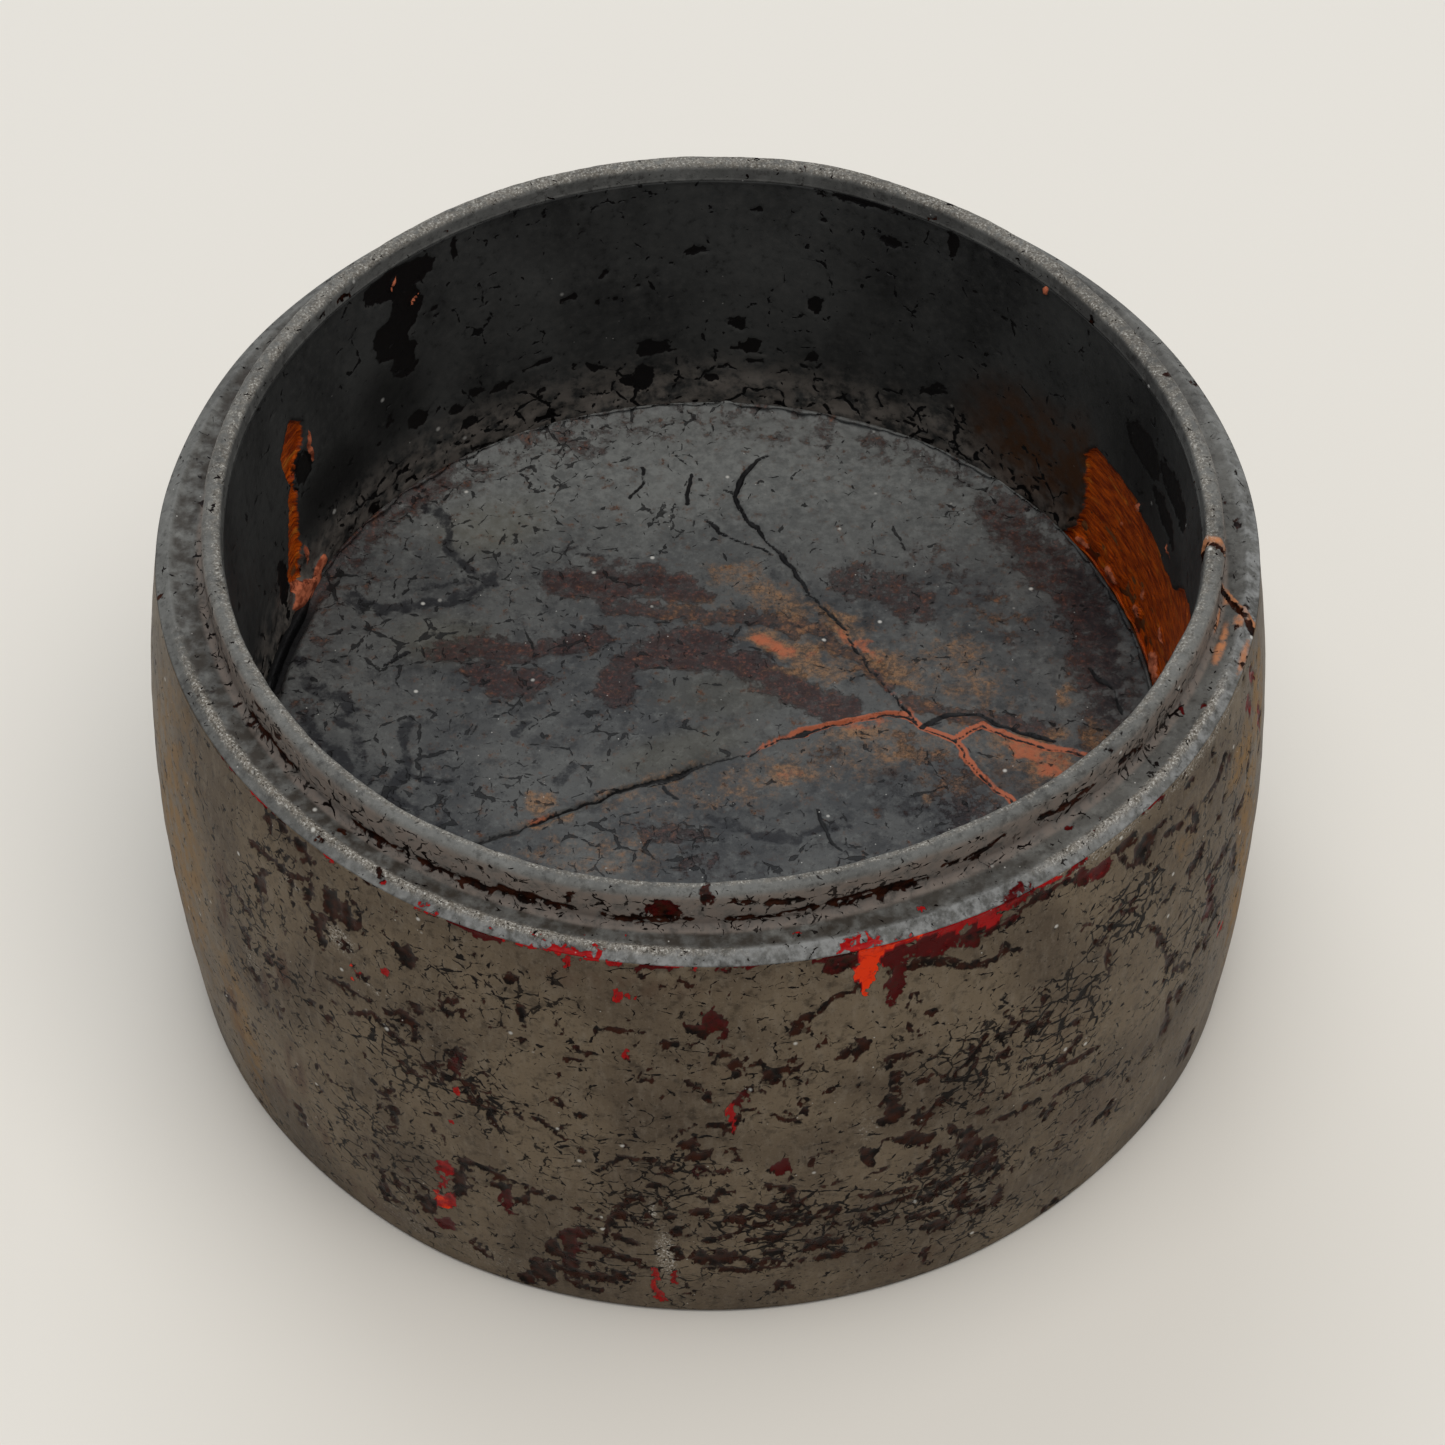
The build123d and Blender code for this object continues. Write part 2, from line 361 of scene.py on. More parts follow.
wallWear = {
    "flakeDepth": 0.24,
    "unevenness": 0.12,
    # lacquer flaked off: azimuth, height, half width, half height, turn, redness from 0 brown to 1 orange-red
    "flakes": (
        (-134, 67.8, 2.0, 1.3, 0, 0), (-139, 68, 0.7, 1.6, 0, 0), (-137, 69.3, 0.9, 0.8, 0, 0),
        (-132.5, 62.3, 0.8, 1.9, 0, 0), (-135, 62.8, 2.4, 0.6, 0, 0), (-139.6, 62.2, 2.0, 0.7, 20, 0),
        (-128.8, 62.6, 1.7, 2.6, 10, 0), (-128.4, 61.2, 2.6, 1.2, 0, 0), (-131, 57, 1.3, 2.6, 0, 0),
        (-128, 57, 1.8, 0.6, 30, 0), (-120.9, 61.3, 1.9, 1.4, -25, 0), (-119.6, 51.8, 0.5, 1.7, 0, 0),
        (-119.7, 48.3, 0.5, 1.1, 0, 0), (-115, 45.6, 0.8, 2.3, -15, 0.25), (-108.9, 63.4, 0.8, 0.6, 0, 0),
        (-112.4, 65.3, 0.8, 0.6, 0, 0), (-140, 56.2, 1.2, 1.8, 0, 0), (-117, 21, 0.9, 3.4, -12, 0.7),
        (-118, 14.4, 1.0, 1.5, 0, 1.0), (-117, 16.2, 0.9, 2.0, -20, 0.75), (-117.8, 9, 1.1, 1.6, 0, 0.45),
        (-119.9, 13, 1.3, 2.8, 10, 0), (-115.2, 21.5, 1.1, 3.6, -12, 0), (-112.6, 23.2, 3.0, 0.8, 6, 0),
        (-110.3, 21, 0.8, 2.2, 0, 0.35), (-108.6, 23, 0.8, 1.6, 0, 0), (-125.5, 12, 0.8, 3.6, 0, 0),
        (-123.6, 14, 0.7, 1.2, 0, 0), (-103.7, 14.5, 1.6, 3.8, 0, 0.22), (-105.7, 12.2, 1.5, 1.9, 0, 0.1),
        (-104, 9.5, 1.0, 1.2, 0, 0.2), (-107.3, 5, 1.8, 2.5, 0, 0), (-108.7, 2.4, 1.8, 1.2, 0, 0.1),
        (-103, 7, 3.4, 0.6, -5, 0), (-98.6, 8, 1.5, 0.5, -20, 0), (-99, 21, 0.7, 3.4, -10, 0),
        (-96.5, 26.6, 2.2, 0.7, 8, 0), (-101, 14, 1.5, 0.5, -15, 0), (-98.4, 17, 1.2, 0.5, -30, 0),
        (-98, 12.3, 1.1, 0.5, -20, 0), (-114, 6.3, 0.9, 1.7, 30, 0), (-110, 49, 0.5, 0.5, 0, 0),
        (-89.4, 60.6, 1.2, 2.2, 10, 0.3), (-91, 59.4, 1.2, 0.6, -30, 0.2), (-88.4, 58.3, 0.6, 1.0, 0, 0.3),
        (-86.9, 47.5, 0.9, 2.0, 0, 0.3), (-86, 45, 1.4, 0.8, 0, 0.1), (-85.8, 43.5, 0.7, 0.7, 0, 0),
        (-87.1, 51.5, 0.5, 0.8, 0, 0.1), (-86.6, 54, 0.6, 0.4, 30, 0), (-91.9, 39, 0.9, 0.6, -20, 0),
        (-90.7, 36.3, 1.7, 1.0, 0, 0), (-90.6, 33.7, 0.9, 1.6, 0, 0.2), (-88.5, 33, 1.0, 0.7, 0, 0.15),
        (-83, 33, 1.0, 2.0, 0, 0.42), (-84, 25.3, 3.0, 0.7, 5, 0), (-90.5, 24, 1.6, 1.0, 0, 0),
        (-87.4, 22.5, 2.2, 0.8, 15, 0), (-85.8, 21.3, 1.8, 0.9, 0, 0), (-82, 22.3, 2.6, 0.6, 15, 0),
        (-80, 20, 2.0, 0.7, 20, 0), (-83.2, 18, 1.5, 1.1, 0, 0), (-89, 14.2, 2.9, 1.5, 0, 0),
        (-84.6, 12.5, 2.2, 0.9, 10, 0), (-78.7, 15, 4.4, 1.3, 0, 0.05), (-76.4, 12, 3.4, 0.8, 4, 0),
        (-92.5, 21, 1.0, 1.0, 0, 0), (-93.3, 14.5, 1.0, 1.6, 0, 0), (-77.2, 21.5, 0.6, 1.0, 0, 0),
        (-72, 43.3, 0.6, 3.0, -8, 0), (-71.7, 41, 1.1, 1.0, 0, 0), (-71.4, 39.2, 1.9, 0.6, 0, 0),
        (-69, 38, 1.0, 0.5, 0, 0), (-72.3, 49.2, 0.7, 0.5, 0, 0), (-71.6, 34.4, 3.3, 0.9, 3, 0),
        (-74, 32.8, 1.1, 1.7, 0, 0), (-68.8, 33, 1.7, 1.8, 0, 0.1), (-69.7, 59, 0.9, 1.5, -10, 0),
        (-70.4, 57.4, 0.6, 0.7, 0, 0), (-68, 57, 0.7, 0.5, 0, 0), (-63.3, 27.5, 1.6, 3.2, 25, 0.08),
        (-61.6, 23.5, 1.6, 4.0, 0, 0.1), (-66.4, 21.8, 2.3, 1.2, 0, 0), (-60.2, 19, 0.8, 2.8, 0, 0),
        (-59.6, 13.5, 0.8, 2.2, 0, 0), (-64, 17, 1.6, 2.4, 0, 0), (-67.8, 15.3, 2.2, 1.0, -20, 0),
        (-66.4, 12.3, 2.8, 0.8, -25, 0), (-62, 11.5, 2.2, 0.6, -15, 0), (-66.7, 29, 0.6, 2.4, 15, 0),
        (-63.9, 31, 1.4, 0.9, 0, 0), (-82.7, 5.8, 0.9, 0.7, 0, 0), (-67, 6, 0.8, 2.0, 0, 0.15),
        (-33, 52.6, 1.8, 1.1, 10, 0), (-24.3, 50.3, 0.7, 0.9, 0, 0), (-54, 26.6, 0.8, 1.2, -30, 0),
        (-45, 13.3, 0.8, 0.7, 0, 0), (-37.2, 38.4, 1.3, 1.0, 0, 0), (-36.6, 25.5, 0.8, 4.4, 0, 0.1),
        (-34.4, 28.5, 0.9, 1.8, 0, 0), (-29.8, 41, 1.2, 4.6, 0, 0.25), (-27.2, 46, 2.4, 1.0, 0, 0.05),
        (-24, 41, 1.1, 4.0, 20, 0.05), (-28, 35.5, 2.4, 1.2, 0, 0.1), (-25.4, 29.6, 0.9, 1.4, 0, 0.9),
        (-29, 9, 1.6, 3.0, 20, 0), (-97.9, 64.7, 0.7, 0.5, 0, 0.95), (-98.5, 63.7, 0.3, 0.3, 0, 0.95),
        (-126.5, 53.9, 0.45, 0.9, -10, 1.0), (-122.7, 56.2, 0.3, 0.5, 0, 0.8),
        (-115.2, 40.3, 0.35, 0.4, 0, 0.95), (-115.6, 33.4, 0.5, 0.5, 0, 0.9), (-98, 54.6, 0.3, 0.5, 0, 0.8),
        (40, 50, 2.0, 3.0, 0, 0.1), (95, 30, 3.0, 2.2, 20, 0.1), (140, 58, 2.0, 3.2, 0, 0),
        (-170, 45, 1.4, 4.0, 0, 0.1), (62, 14, 4.0, 1.2, 0, 0),
    ),
    # red along the shoulder's edge, the same numbers
    "edgeFlakes": (
        (-142, 70, 1.6, 0.25, 0, 0.9), (-145, 70, 1.6, 0.25, 0, 0.6), (-130.2, 69.9, 0.5, 0.3, 0, 0.85),
        (-119, 70, 1.0, 0.2, 0, 0.85), (-112.8, 69.8, 2.3, 0.4, 0, 0.45), (-106, 70, 3.6, 0.25, 0, 0.85),
        (-100.5, 70, 4.0, 0.22, 0, 0.8), (-95.8, 69.6, 1.9, 0.5, 0, 0.4), (-103.4, 68.6, 0.25, 0.6, 0, 0.8),
        (-96.8, 69, 0.4, 0.6, 0, 0.4), (-87, 70, 1.2, 0.3, 0, 0.5), (-78.8, 69.8, 1.8, 0.5, 0, 0.45),
        (-77, 68.6, 1.9, 1.7, 0, 0.25), (-73.4, 69, 2.8, 1.5, 0, 1.05), (-74.4, 66.2, 1.1, 3.0, -6, 1.15),
        (-70.3, 69.8, 2.4, 0.6, 0, 1.0), (-71.8, 67.5, 1.9, 1.5, 0, 0.45), (-67.6, 67.7, 3.2, 1.6, 0, 0.48),
        (-66, 69.5, 3.4, 0.9, 0, 0.8), (-61.6, 68.4, 1.7, 1.5, 0, 0.8), (-58.4, 69.5, 3.4, 0.9, 0, 0.62),
        (-55, 70, 1.4, 0.5, 0, 0.9), (-71.4, 63.2, 0.9, 2.6, -14, 0.35), (-63.6, 66.8, 1.2, 1.3, 0, 0.3),
        (-47.6, 66.5, 1.9, 0.9, 0, 0.5), (-50.3, 67, 1.3, 0.9, 0, 0.25), (-44.4, 67, 2.0, 0.9, 0, 0.05),
        (-42, 64, 1.4, 1.4, 0, 0.05), (-51, 69.6, 1.4, 0.5, 0, 0.6), (-40, 69.8, 1.0, 0.3, 0, 0.6),
        (-16.5, 65.4, 0.5, 1.4, 20, 0.6), (-18.6, 62.6, 0.4, 1.2, 20, 0.6), (-14, 55, 0.5, 2.6, 15, 0.6),
        (35, 69.6, 3.0, 0.6, 0, 0.5), (80, 69.6, 5.0, 0.5, 0, 0.4), (128, 69.5, 4.0, 0.7, 0, 0.5),
        (170, 69.6, 3.0, 0.5, 0, 0.6),
    ),
    # cracks wide enough to see the brown in: points (azimuth, height), half width, redness
    "cracks": (
        (((-71, 65), (-68, 65.2), (-66, 64.2), (-64.5, 62.2), (-62, 61.6), (-60, 62)), 0.5, 0.1),
        (((-82, 60), (-79.5, 61.5), (-78, 63), (-75.5, 63.8)), 0.35, 0.1),
        (((-64, 67), (-60, 66.4), (-58, 67.2), (-56, 67.8), (-53, 68.4), (-51, 67)), 0.4, 0.2),
        (((-60, 64), (-59.8, 62), (-58, 60.8)), 0.25, 0),
        (((-45, 65.5), (-43.8, 62.8), (-41.5, 61.8), (-40.6, 63.5), (-41.5, 65.2), (-38.5, 65.3)), 0.45, 0),
        (((-38.5, 63), (-36, 61.4), (-33.6, 62), (-32.4, 60), (-33, 58.4), (-34.6, 60)), 0.4, 0),
        (((-31.5, 61), (-28, 60.9), (-26.5, 63), (-25.3, 62), (-24.9, 59.8)), 0.4, 0),
        (((-41.3, 50), (-40, 47), (-39.2, 44), (-38, 41.5), (-37.6, 38), (-36, 35), (-33, 32.4)), 0.35, 0),
        (((-45.5, 58), (-44.5, 56), (-43, 55.4)), 0.35, 0.1), (((-49, 54.4), (-47.5, 53.8)), 0.3, 0),
        (((-47, 53), (-47.4, 51), (-47.2, 47)), 0.3, 0), (((-39.5, 51.4), (-37, 52.6)), 0.35, 0),
        (((-49.6, 29.4), (-48.4, 27), (-46.8, 25.4)), 0.3, 0), (((-56, 20.4), (-55, 18)), 0.3, 0),
        (((-60.2, 52), (-59.6, 50.2), (-57.5, 47.5), (-56.5, 45)), 0.3, 0),
        (((-63, 46), (-63.6, 43.4)), 0.25, 0),
        (((-58, 40), (-56, 37.6), (-53, 36.6), (-51, 38.6)), 0.35, 0),
        (((-59, 36), (-54.5, 35.2), (-48, 34.2)), 0.3, 0),
        (((-61, 31.4), (-58, 30.6), (-56.6, 31)), 0.35, 0), (((-53.5, 29.8), (-50, 29.4)), 0.3, 0),
        (((-66.3, 35), (-65.5, 32.6), (-63.5, 30.5)), 0.3, 0),
        (((-85, 44), (-83.5, 43.2), (-80.8, 42.2)), 0.3, 0), (((-77.5, 52.4), (-76.2, 53.6)), 0.3, 0),
        (((-90, 42.4), (-87.5, 42.6)), 0.25, 0),
        (((-91.5, 28.4), (-89.5, 27), (-88.6, 29), (-87.4, 28.4)), 0.3, 0),
        (((-84.2, 29.2), (-82, 28.8), (-81.6, 27.2), (-83.2, 26)), 0.35, 0),
        (((-79, 28), (-76.4, 29.2)), 0.3, 0), (((-74.5, 28), (-72, 29.6)), 0.25, 0),
        (((-91, 17.5), (-88, 19), (-86.5, 20.4)), 0.35, 0),
        (((-90.5, 11.6), (-86, 10.8), (-82, 11)), 0.3, 0),
        (((-74.8, 20), (-73, 17.6), (-70.5, 17.6)), 0.35, 0), (((-76, 25), (-74, 24), (-69, 23)), 0.3, 0),
        (((-97, 27), (-99, 24.6), (-99.8, 20), (-100.6, 16.4)), 0.4, 0),
        (((-96, 29.6), (-94.8, 30)), 0.25, 0),
        (((-115.8, 18), (-115, 25.6), (-113.8, 26.4), (-111.6, 25.6), (-109, 25)), 0.45, 0),
        (((-107.6, 6.6), (-104.6, 7.4), (-100, 7), (-97.6, 8.4)), 0.35, 0),
        (((-116, 47), (-114, 48.6)), 0.3, 0), (((-130, 49.5), (-126, 49.6), (-121, 50)), 0.25, 0),
        (((-127, 45.6), (-124.6, 47.6), (-122, 46), (-120, 45)), 0.28, 0),
        (((-123, 43), (-121, 41.6), (-120, 40), (-118, 40.6), (-116, 41)), 0.28, 0),
        (((-119.4, 43), (-116, 42.6), (-111, 42)), 0.28, 0),
        (((-112, 40), (-111.4, 37.6), (-110.6, 35.4)), 0.28, 0),
        (((-114.4, 41.6), (-113, 39), (-106, 39.6), (-102, 34.6)), 0.22, 0),
        (((-108.2, 60), (-107.8, 56.4)), 0.25, 0), (((-135.4, 62), (-134.8, 58)), 0.3, 0),
        (((-100.8, 31), (-98.4, 35), (-95, 35.2)), 0.28, 0), (((-122.6, 30), (-122.9, 25.6)), 0.25, 0),
        (((-68, 45), (-66, 43), (-64, 45.5), (-62, 49)), 0.28, 0), (((-70.6, 55.4), (-70, 53)), 0.25, 0),
    ),
    "redLines": (
        (((-95.4, 11), (-95.6, 6), (-95.4, 3.6), (-94.3, 2.4)), 0.4, 0.9),
        (((-87.5, 46.4), (-87.9, 43), (-88, 41)), 0.3, 0.9), (((-93.2, 10), (-93.4, 7)), 0.3, 0.7),
    ),
    # rubbed patches, and tall tan patches at the wall's left and right edges that are a painted warm
    # reflection: azimuth, height, half width, half height, turn, strength
    "rubbed": (
        (-21, 57, 7, 5, 0, 0.75), (-19, 35, 7, 26, 0, 0.7), (-14, 60, 5, 12, 0, 0.7),
        (-160, 40, 14, 34, 0, 0.6), (-146, 20, 6, 22, 0, 0.5), (10, 30, 14, 22, 0, 0.6),
        (120, 24, 16, 12, 0, 0.5), (-34, 58, 6, 5, 0, 0.35),
    ),
    # pale scuffs, the same numbers
    "scuffed": (
        (-128.3, 57.6, 2.8, 2.4, 0, 1.0), (-94.2, 14, 1.6, 7, 3, 1.0), (-95.4, 24, 0.7, 3.0, 5, 0.9),
        (-135, 61.4, 1.8, 0.9, 0, 0.7), (-141.5, 40, 2.2, 4.5, 0, 0.6), (-124.4, 52.4, 2.4, 0.35, -28, 1.0),
        (-123, 5, 8, 3.5, 0, 0.4), (-112, 5, 8, 3, 0, 0.35), (-74.5, 38.5, 1.8, 3.4, 0, 0.35),
        (-47, 69.6, 12, 1.4, 0, 0.7), (-30, 69.2, 14, 1.4, 0, 0.8), (-66, 31, 1.6, 2.0, 0, 0.25),
        (-61.8, 16.5, 1.4, 2.6, 0, 0.25), (-48.6, 58.5, 1.2, 0.8, 0, 0.5), (-66, 18.5, 3.0, 3.0, 0, 0.3),
        (-72, 18, 3.0, 2.0, 0, 0.3),
    ),
    # see-through brown smears, the same numbers
    "smeared": (
        (-147, 46, 2.0, 8, 0, 1.0), (-147.5, 22, 2.0, 9, 0, 0.9), (-136.4, 43.5, 1.5, 4.5, 0, 1.0),
        (-139.8, 37, 1.2, 4, 0, 1.0), (-136, 24.5, 2.0, 6.0, 0, 0.9), (-140, 15, 1.8, 4, 0, 0.7),
        (-133.5, 13, 1.6, 5, 0, 0.6), (-128, 4, 6, 2.0, 0, 0.6), (-54, 44, 7, 6, 0, 0.3),
        (-99, 66, 14, 2, 0, 0.35), (-68, 5, 5, 3, 0, 0.35), (-48, 20, 8, 8, 0, 0.25),
        (-89, 53, 3, 3, 0, 0.3),
    ),
    # how closely crazed the lacquer is, the same numbers
    "crazed": (
        (-54, 44, 10, 10, 0, 1.0), (-83, 20, 16, 9, 0, 1.0), (-66, 20, 10, 10, 0, 1.0),
        (-118, 42, 13, 9, 0, 0.75), (-112, 60, 14, 6, 0, 0.5), (-96, 30, 12, 12, 0, 0.6),
        (-44, 56, 9, 7, 0, 0.85), (-63, 45, 9, 10, 0, 0.8), (-62, 8, 14, 5, 0, 0.55),
        (-126, 18, 14, 14, 0, 0.55), (-48, 22, 12, 12, 0, 0.45), (-140, 45, 12, 14, 0, 0.45),
        (-30, 40, 14, 20, 0, 0.6), (60, 36, 60, 30, 0, 0.6), (170, 36, 40, 30, 0, 0.6),
        (-100, 8, 14, 6, 0, 0.5),
    ),
}


def layWall(theta, radius, height):
    # lacquer flaked off in pieces that follow its crackle, deeper than the surface round it
    p = pointsOf(theta, radius, height)
    x = aroundMm(theta)
    wx = x + 0.35 * smoothNoise(p, 1.5, 31) + 0.35 * smoothNoise(p, 3.5, 32)
    wy = height + 0.35 * smoothNoise(p, 1.5, 33) + 0.35 * smoothNoise(p, 3.5, 34)
    edge, cell = flakeCells(p, 2.0, 40)
    placed, red = ovalField(wx, wy, degreesRow(wallWear["flakes"]))
    breakUp = 1.4 * (cell - 0.58) + 1.2 * np.exp(-edge / 0.18) - 0.5
    placed = placed + np.clip(placed + 1.1, 0.0, 1.0) * breakUp
    rim, rimRed = ovalField(wx, wy, degreesRow(wallWear["edgeFlakes"]))
    rim = rim + np.clip(rim + 0.9, 0.0, 0.8) * (1.0 * (cell - 0.55) + 0.9 * np.exp(-edge / 0.2) - 0.2)
    across = math.radians(1) * wallRound
    line1, lineRed = strokeField(wx, wy, wallWear["cracks"] + wallWear["redLines"], across)
    line1 = line1 + 0.3 * smoothNoise(p, 1.4, 46)
    flake = placed
    for other, otherRed in ((rim, rimRed), (line1, lineRed)):
        red = np.where(other > flake, otherRed, red)
        flake = np.maximum(flake, other)
    crazed = softField(x, height, degreesRow(wallWear["crazed"]))
    flat = p * np.array([1, 1, 1.6])
    patches = fractalNoise(flat, 9.0, 60) * 0.4 + fractalNoise(flat, 2.6, 64, 2) * 0.6
    scattered = 1.5 * (patches - 0.93 + 0.24 * crazed)
    scattered = scattered + 0.8 * (cell - 0.5) + 0.8 * np.exp(-edge / 0.2) - 0.25
    red = np.where(scattered > flake, 0.1 * cell, red)
    flake = np.maximum(flake, scattered)
    # rubbed wear, and at the wall's left and right edges a painted warm reflection
    rubbed = softField(x, height, degreesRow(wallWear["rubbed"]))
    scuffed = softField(x, height, degreesRow(wallWear["scuffed"]))
    smeared = softField(x, height, degreesRow(wallWear["smeared"]))
    nearEdge = ramp(bowl["shoulderHeight"] - height, 0.0, 0.8) * ramp(height, 0.4, 1.6)
    offset = wallWear["unevenness"] * (fractalNoise(p, 9.0, 70) - 1) * 0.6 + 0.03 * smoothNoise(p, 2.2, 76)
    offset = offset - wallWear["flakeDepth"] * ramp(flake, -0.05, 0.12)
    offset = offset - 0.08 * np.exp(-edge / 0.25) * crazed
    return offset * nearEdge, {"flake": flake, "redness": red, "rubbed": rubbed, "dust": scuffed,
                               "smeared": smeared, "crazed": crazed}


around = 800
wallRows = 116
wallProfile = wallArc(0, bowl["coatFoot"], bowl["shoulderHeight"], wallRows)
wallProfile += [(bowl["shoulderRadius"], bowl["shoulderHeight"], 0.0)]
wallProfile += [(bowl["shoulderRadius"] - 0.9, bowl["shoulderHeight"] - 0.7, 0.0)]
wallProfile += [(bowl["footRadius"] - 0.9, bowl["coatFoot"], 0.0)]
wallCoat = gridMesh("wallCoat", wallProfile, aroundAngles(around, 0.55), True, layWall)
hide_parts("outer_black_lacquer", "outer_red_lacquer", "outer_clay_ground")
print("outer wall:", len(wallCoat.data.polygons), "faces")


# shoulder and collar

collarWear = {
    "unevenness": 0.14,
    "crackWidth": 0.34,
    "seatDip": 0.3,            # the lid's seat is worn hollow
    # azimuth, height, half width, half height, turn, redness
    "chips": (
        (-94.5, 74.2, 1.8, 1.5, 0, 0.26), (-90, 76, 0.5, 0.5, 0, 0.2), (-86, 75.4, 1.0, 0.4, 0, 0.1),
        (-75, 70.3, 1.0, 0.3, 0, 0.9), (-104, 70.2, 1.6, 0.25, 0, 0.8), (-58, 70.2, 1.2, 0.3, 0, 0.5),
    ),
    # the split across the collar and seat: place along the profile from the shoulder's edge, mm, azimuth
    "split": ((-1.2, -14.2), (1.6, -12.8), (3.6, -11.4), (5.5, -9.8), (11.1, -8.2), (13.7, -7.0)),
    # clay and tan wood laid bare: azimuth, place along the profile, half width, half height, turn, strength
    "clayBare": (
        (-17.5, 3.8, 4.2, 1.0, 0, 1.0), (-13.5, 2.2, 1.6, 1.2, 0, 0.9), (-10.5, 4.6, 1.8, 1.0, 0, 0.8),
        (-7.0, 12.6, 0.8, 1.4, 0, 1.0), (-14.5, 5.6, 3.0, 0.5, 0, 0.9), (-18, -0.4, 4.0, 0.9, 0, 0.8),
        (-4, 5.6, 4.0, 0.5, 0, 0.6), (6, 5.7, 7.0, 0.5, 0, 0.6),
    ),
    # along the collar's foot: azimuth, height, half length, half width
    "footCracks": (
        ((-131, 71.9), (-124, 72.1)), ((-122, 71.9), (-108, 72.2)), ((-112, 73.0), (-104, 72.6)),
        ((-101, 72.2), (-92, 72.5)), ((-88, 72.3), (-80, 72.6), (-74, 73.2), (-68, 73.0)),
        ((-76, 72.3), (-66, 72.2)), ((-64, 73.6), (-60, 73.0), (-57, 74.4)),
        ((-52, 74.0), (-48, 73.0), (-44, 73.6)), ((-150, 72.0), (-140, 72.2)), ((-40, 73.8), (-36, 72.8)),
        ((-84, 74.8), (-80, 74.4)), ((60, 72), (80, 72.2)), ((120, 72.1), (140, 72.0)),
    ),
}


def layCollar(theta, radius, height):
    p = pointsOf(theta, radius, height)
    x = aroundMm(theta, collarRound)
    wy = height + 0.3 * smoothNoise(p, 1.6, 86)
    edge, cell = flakeCells(p, 1.6, 84)
    placed, red = ovalField(x, wy, degreesRow(collarWear["chips"], collarRound))
    onFace = 1 - ramp(np.abs(radius - bowl["collarRadius"]), 0.5, 1.2)
    footCracks = [(path, collarWear["crackWidth"], 0.0) for path in collarWear["footCracks"]]
    cracks = strokeField(x, wy, footCracks, math.radians(1) * collarRound)[0]
    cracks = cracks + 0.35 * smoothNoise(p, 1.5, 88) - 2.0 * (1 - onFace)
    red = np.where(cracks > placed, 0.0, red)
    scattered = 1.4 * (fractalNoise(p, 4.0, 90) * 0.5 + fractalNoise(p, 1.6, 93, 2) * 0.5 - 0.97)
    placed = placed + 0.6 * (cell - 0.5) + 0.3 * np.exp(-edge / 0.2) - 0.1
    nearTop = height > bowl["collarTop"] - 1.2
    scattered = scattered + 0.6 * (cell - 0.5) + 0.3 * np.exp(-edge / 0.2) - 0.3 * nearTop - 0.05
    flake = np.maximum(np.maximum(placed, scattered), cracks)
    seatIn, seatOut = bowl["collarRadius"] + 0.1, bowl["bevelRadius"]
    onSeat = ramp(radius, seatIn, seatIn + 0.8) * (1 - ramp(radius, seatOut - 0.9, seatOut))
    belowCollar = height < bowl["seatHeight"] + 0.3
    onSeat = onSeat * belowCollar
    ridge = 1 - ramp(np.abs(radius - bowl["bevelRadius"]), 0.2, 1.1)
    ridge = ridge * belowCollar
    offset = collarWear["unevenness"] * (fractalNoise(p, 5.0, 95) - 1) * 0.6
    offset = offset + 0.03 * fractalNoise(p, 1.1, 99, 2)
    offset = offset - 0.2 * ramp(flake, -0.05, 0.12) - collarWear["seatDip"] * onSeat
    outside = radius > bowl["mouthRadius"] - 0.2
    along = np.where(outside, bowl["shoulderRadius"] - radius + height - bowl["seatHeight"], 13.7)
    fromSplit = (arcOffset(theta, 0) - np.radians(np.interp(along, *zip(*collarWear["split"])))) * collarRound
    fromSplit = fromSplit + 0.35 * smoothNoise(p, 1.6, 103)
    onTop = ramp(along, 11.5, 12.5)
    lips = (1 - ramp(np.abs(fromSplit - 0.7), 0.35, 0.9)) * (1 - 0.4 * onFace)
    lips = np.maximum(lips, softField(x, along, degreesRow(collarWear["clayBare"], collarRound)) * 1.1)
    flake = np.maximum(flake, 0.35 - np.abs(fromSplit) - 0.3 * onTop)
    offset = offset - 0.7 * (1 - ramp(np.abs(fromSplit), 0.1, 0.5)) + 0.25 * lips
    clear = ramp(np.hypot(radius - bowl["shoulderRadius"], height - bowl["shoulderHeight"]), 0, 0.7)
    top = ramp(height, bowl["collarTop"] - 0.9, bowl["collarTop"] - 0.1)
    innerLip = 1 - ramp(np.abs(radius - bowl["mouthRadius"] - 0.5), 0.3, 1.1)
    front = 0.5 - 0.5 * np.sin(theta)
    worn = top * (0.05 + 0.55 * innerLip * front + 0.6 * (1 - front))
    sandy = ridge * (1 - ramp(np.abs(arcOffset(theta, -125)), 0.5, 0.8))
    sandy = sandy + ridge * (1 - ramp(np.abs(arcOffset(theta, -38)), 0.2, 0.4))
    worn = np.maximum(worn, 0.9 * sandy)
    # pale cold grey on the bevel, strongest near azimuth -55: a painted sheen of sky light
    bevel = ramp(radius, bowl["bevelRadius"] - 1.2, bowl["bevelRadius"] + 0.2) * belowCollar
    pale = bevel * (0.15 + 0.85 * (1 - ramp(np.abs(arcOffset(theta, -55)), 0.8, 1.5)))
    # darker on the seat next to the collar's foot: painted shade in that recess, with dirt
    seatShadeAndDirt = onSeat * (0.35 + 0.65 * ramp(np.abs(arcOffset(theta, -10)), 0.5, 1.2)) * (1 - 0.5 * bevel)
    warm = onFace * (1 - top)
    return offset * clear, {"flake": flake, "redness": red, "rubbed": lips, "dust": worn, "smeared": seatShadeAndDirt,
                            "crazed": -0.25 + 0.55 * warm, "warm": warm, "pale": pale}


topRound = 0.9
coveSize = 0.6
seam = bowl["collarTop"] - 2.6        # where the lining takes over inside the mouth
rowsPer = 1.0


def some(count):
    return max(2, int(count * rowsPer))


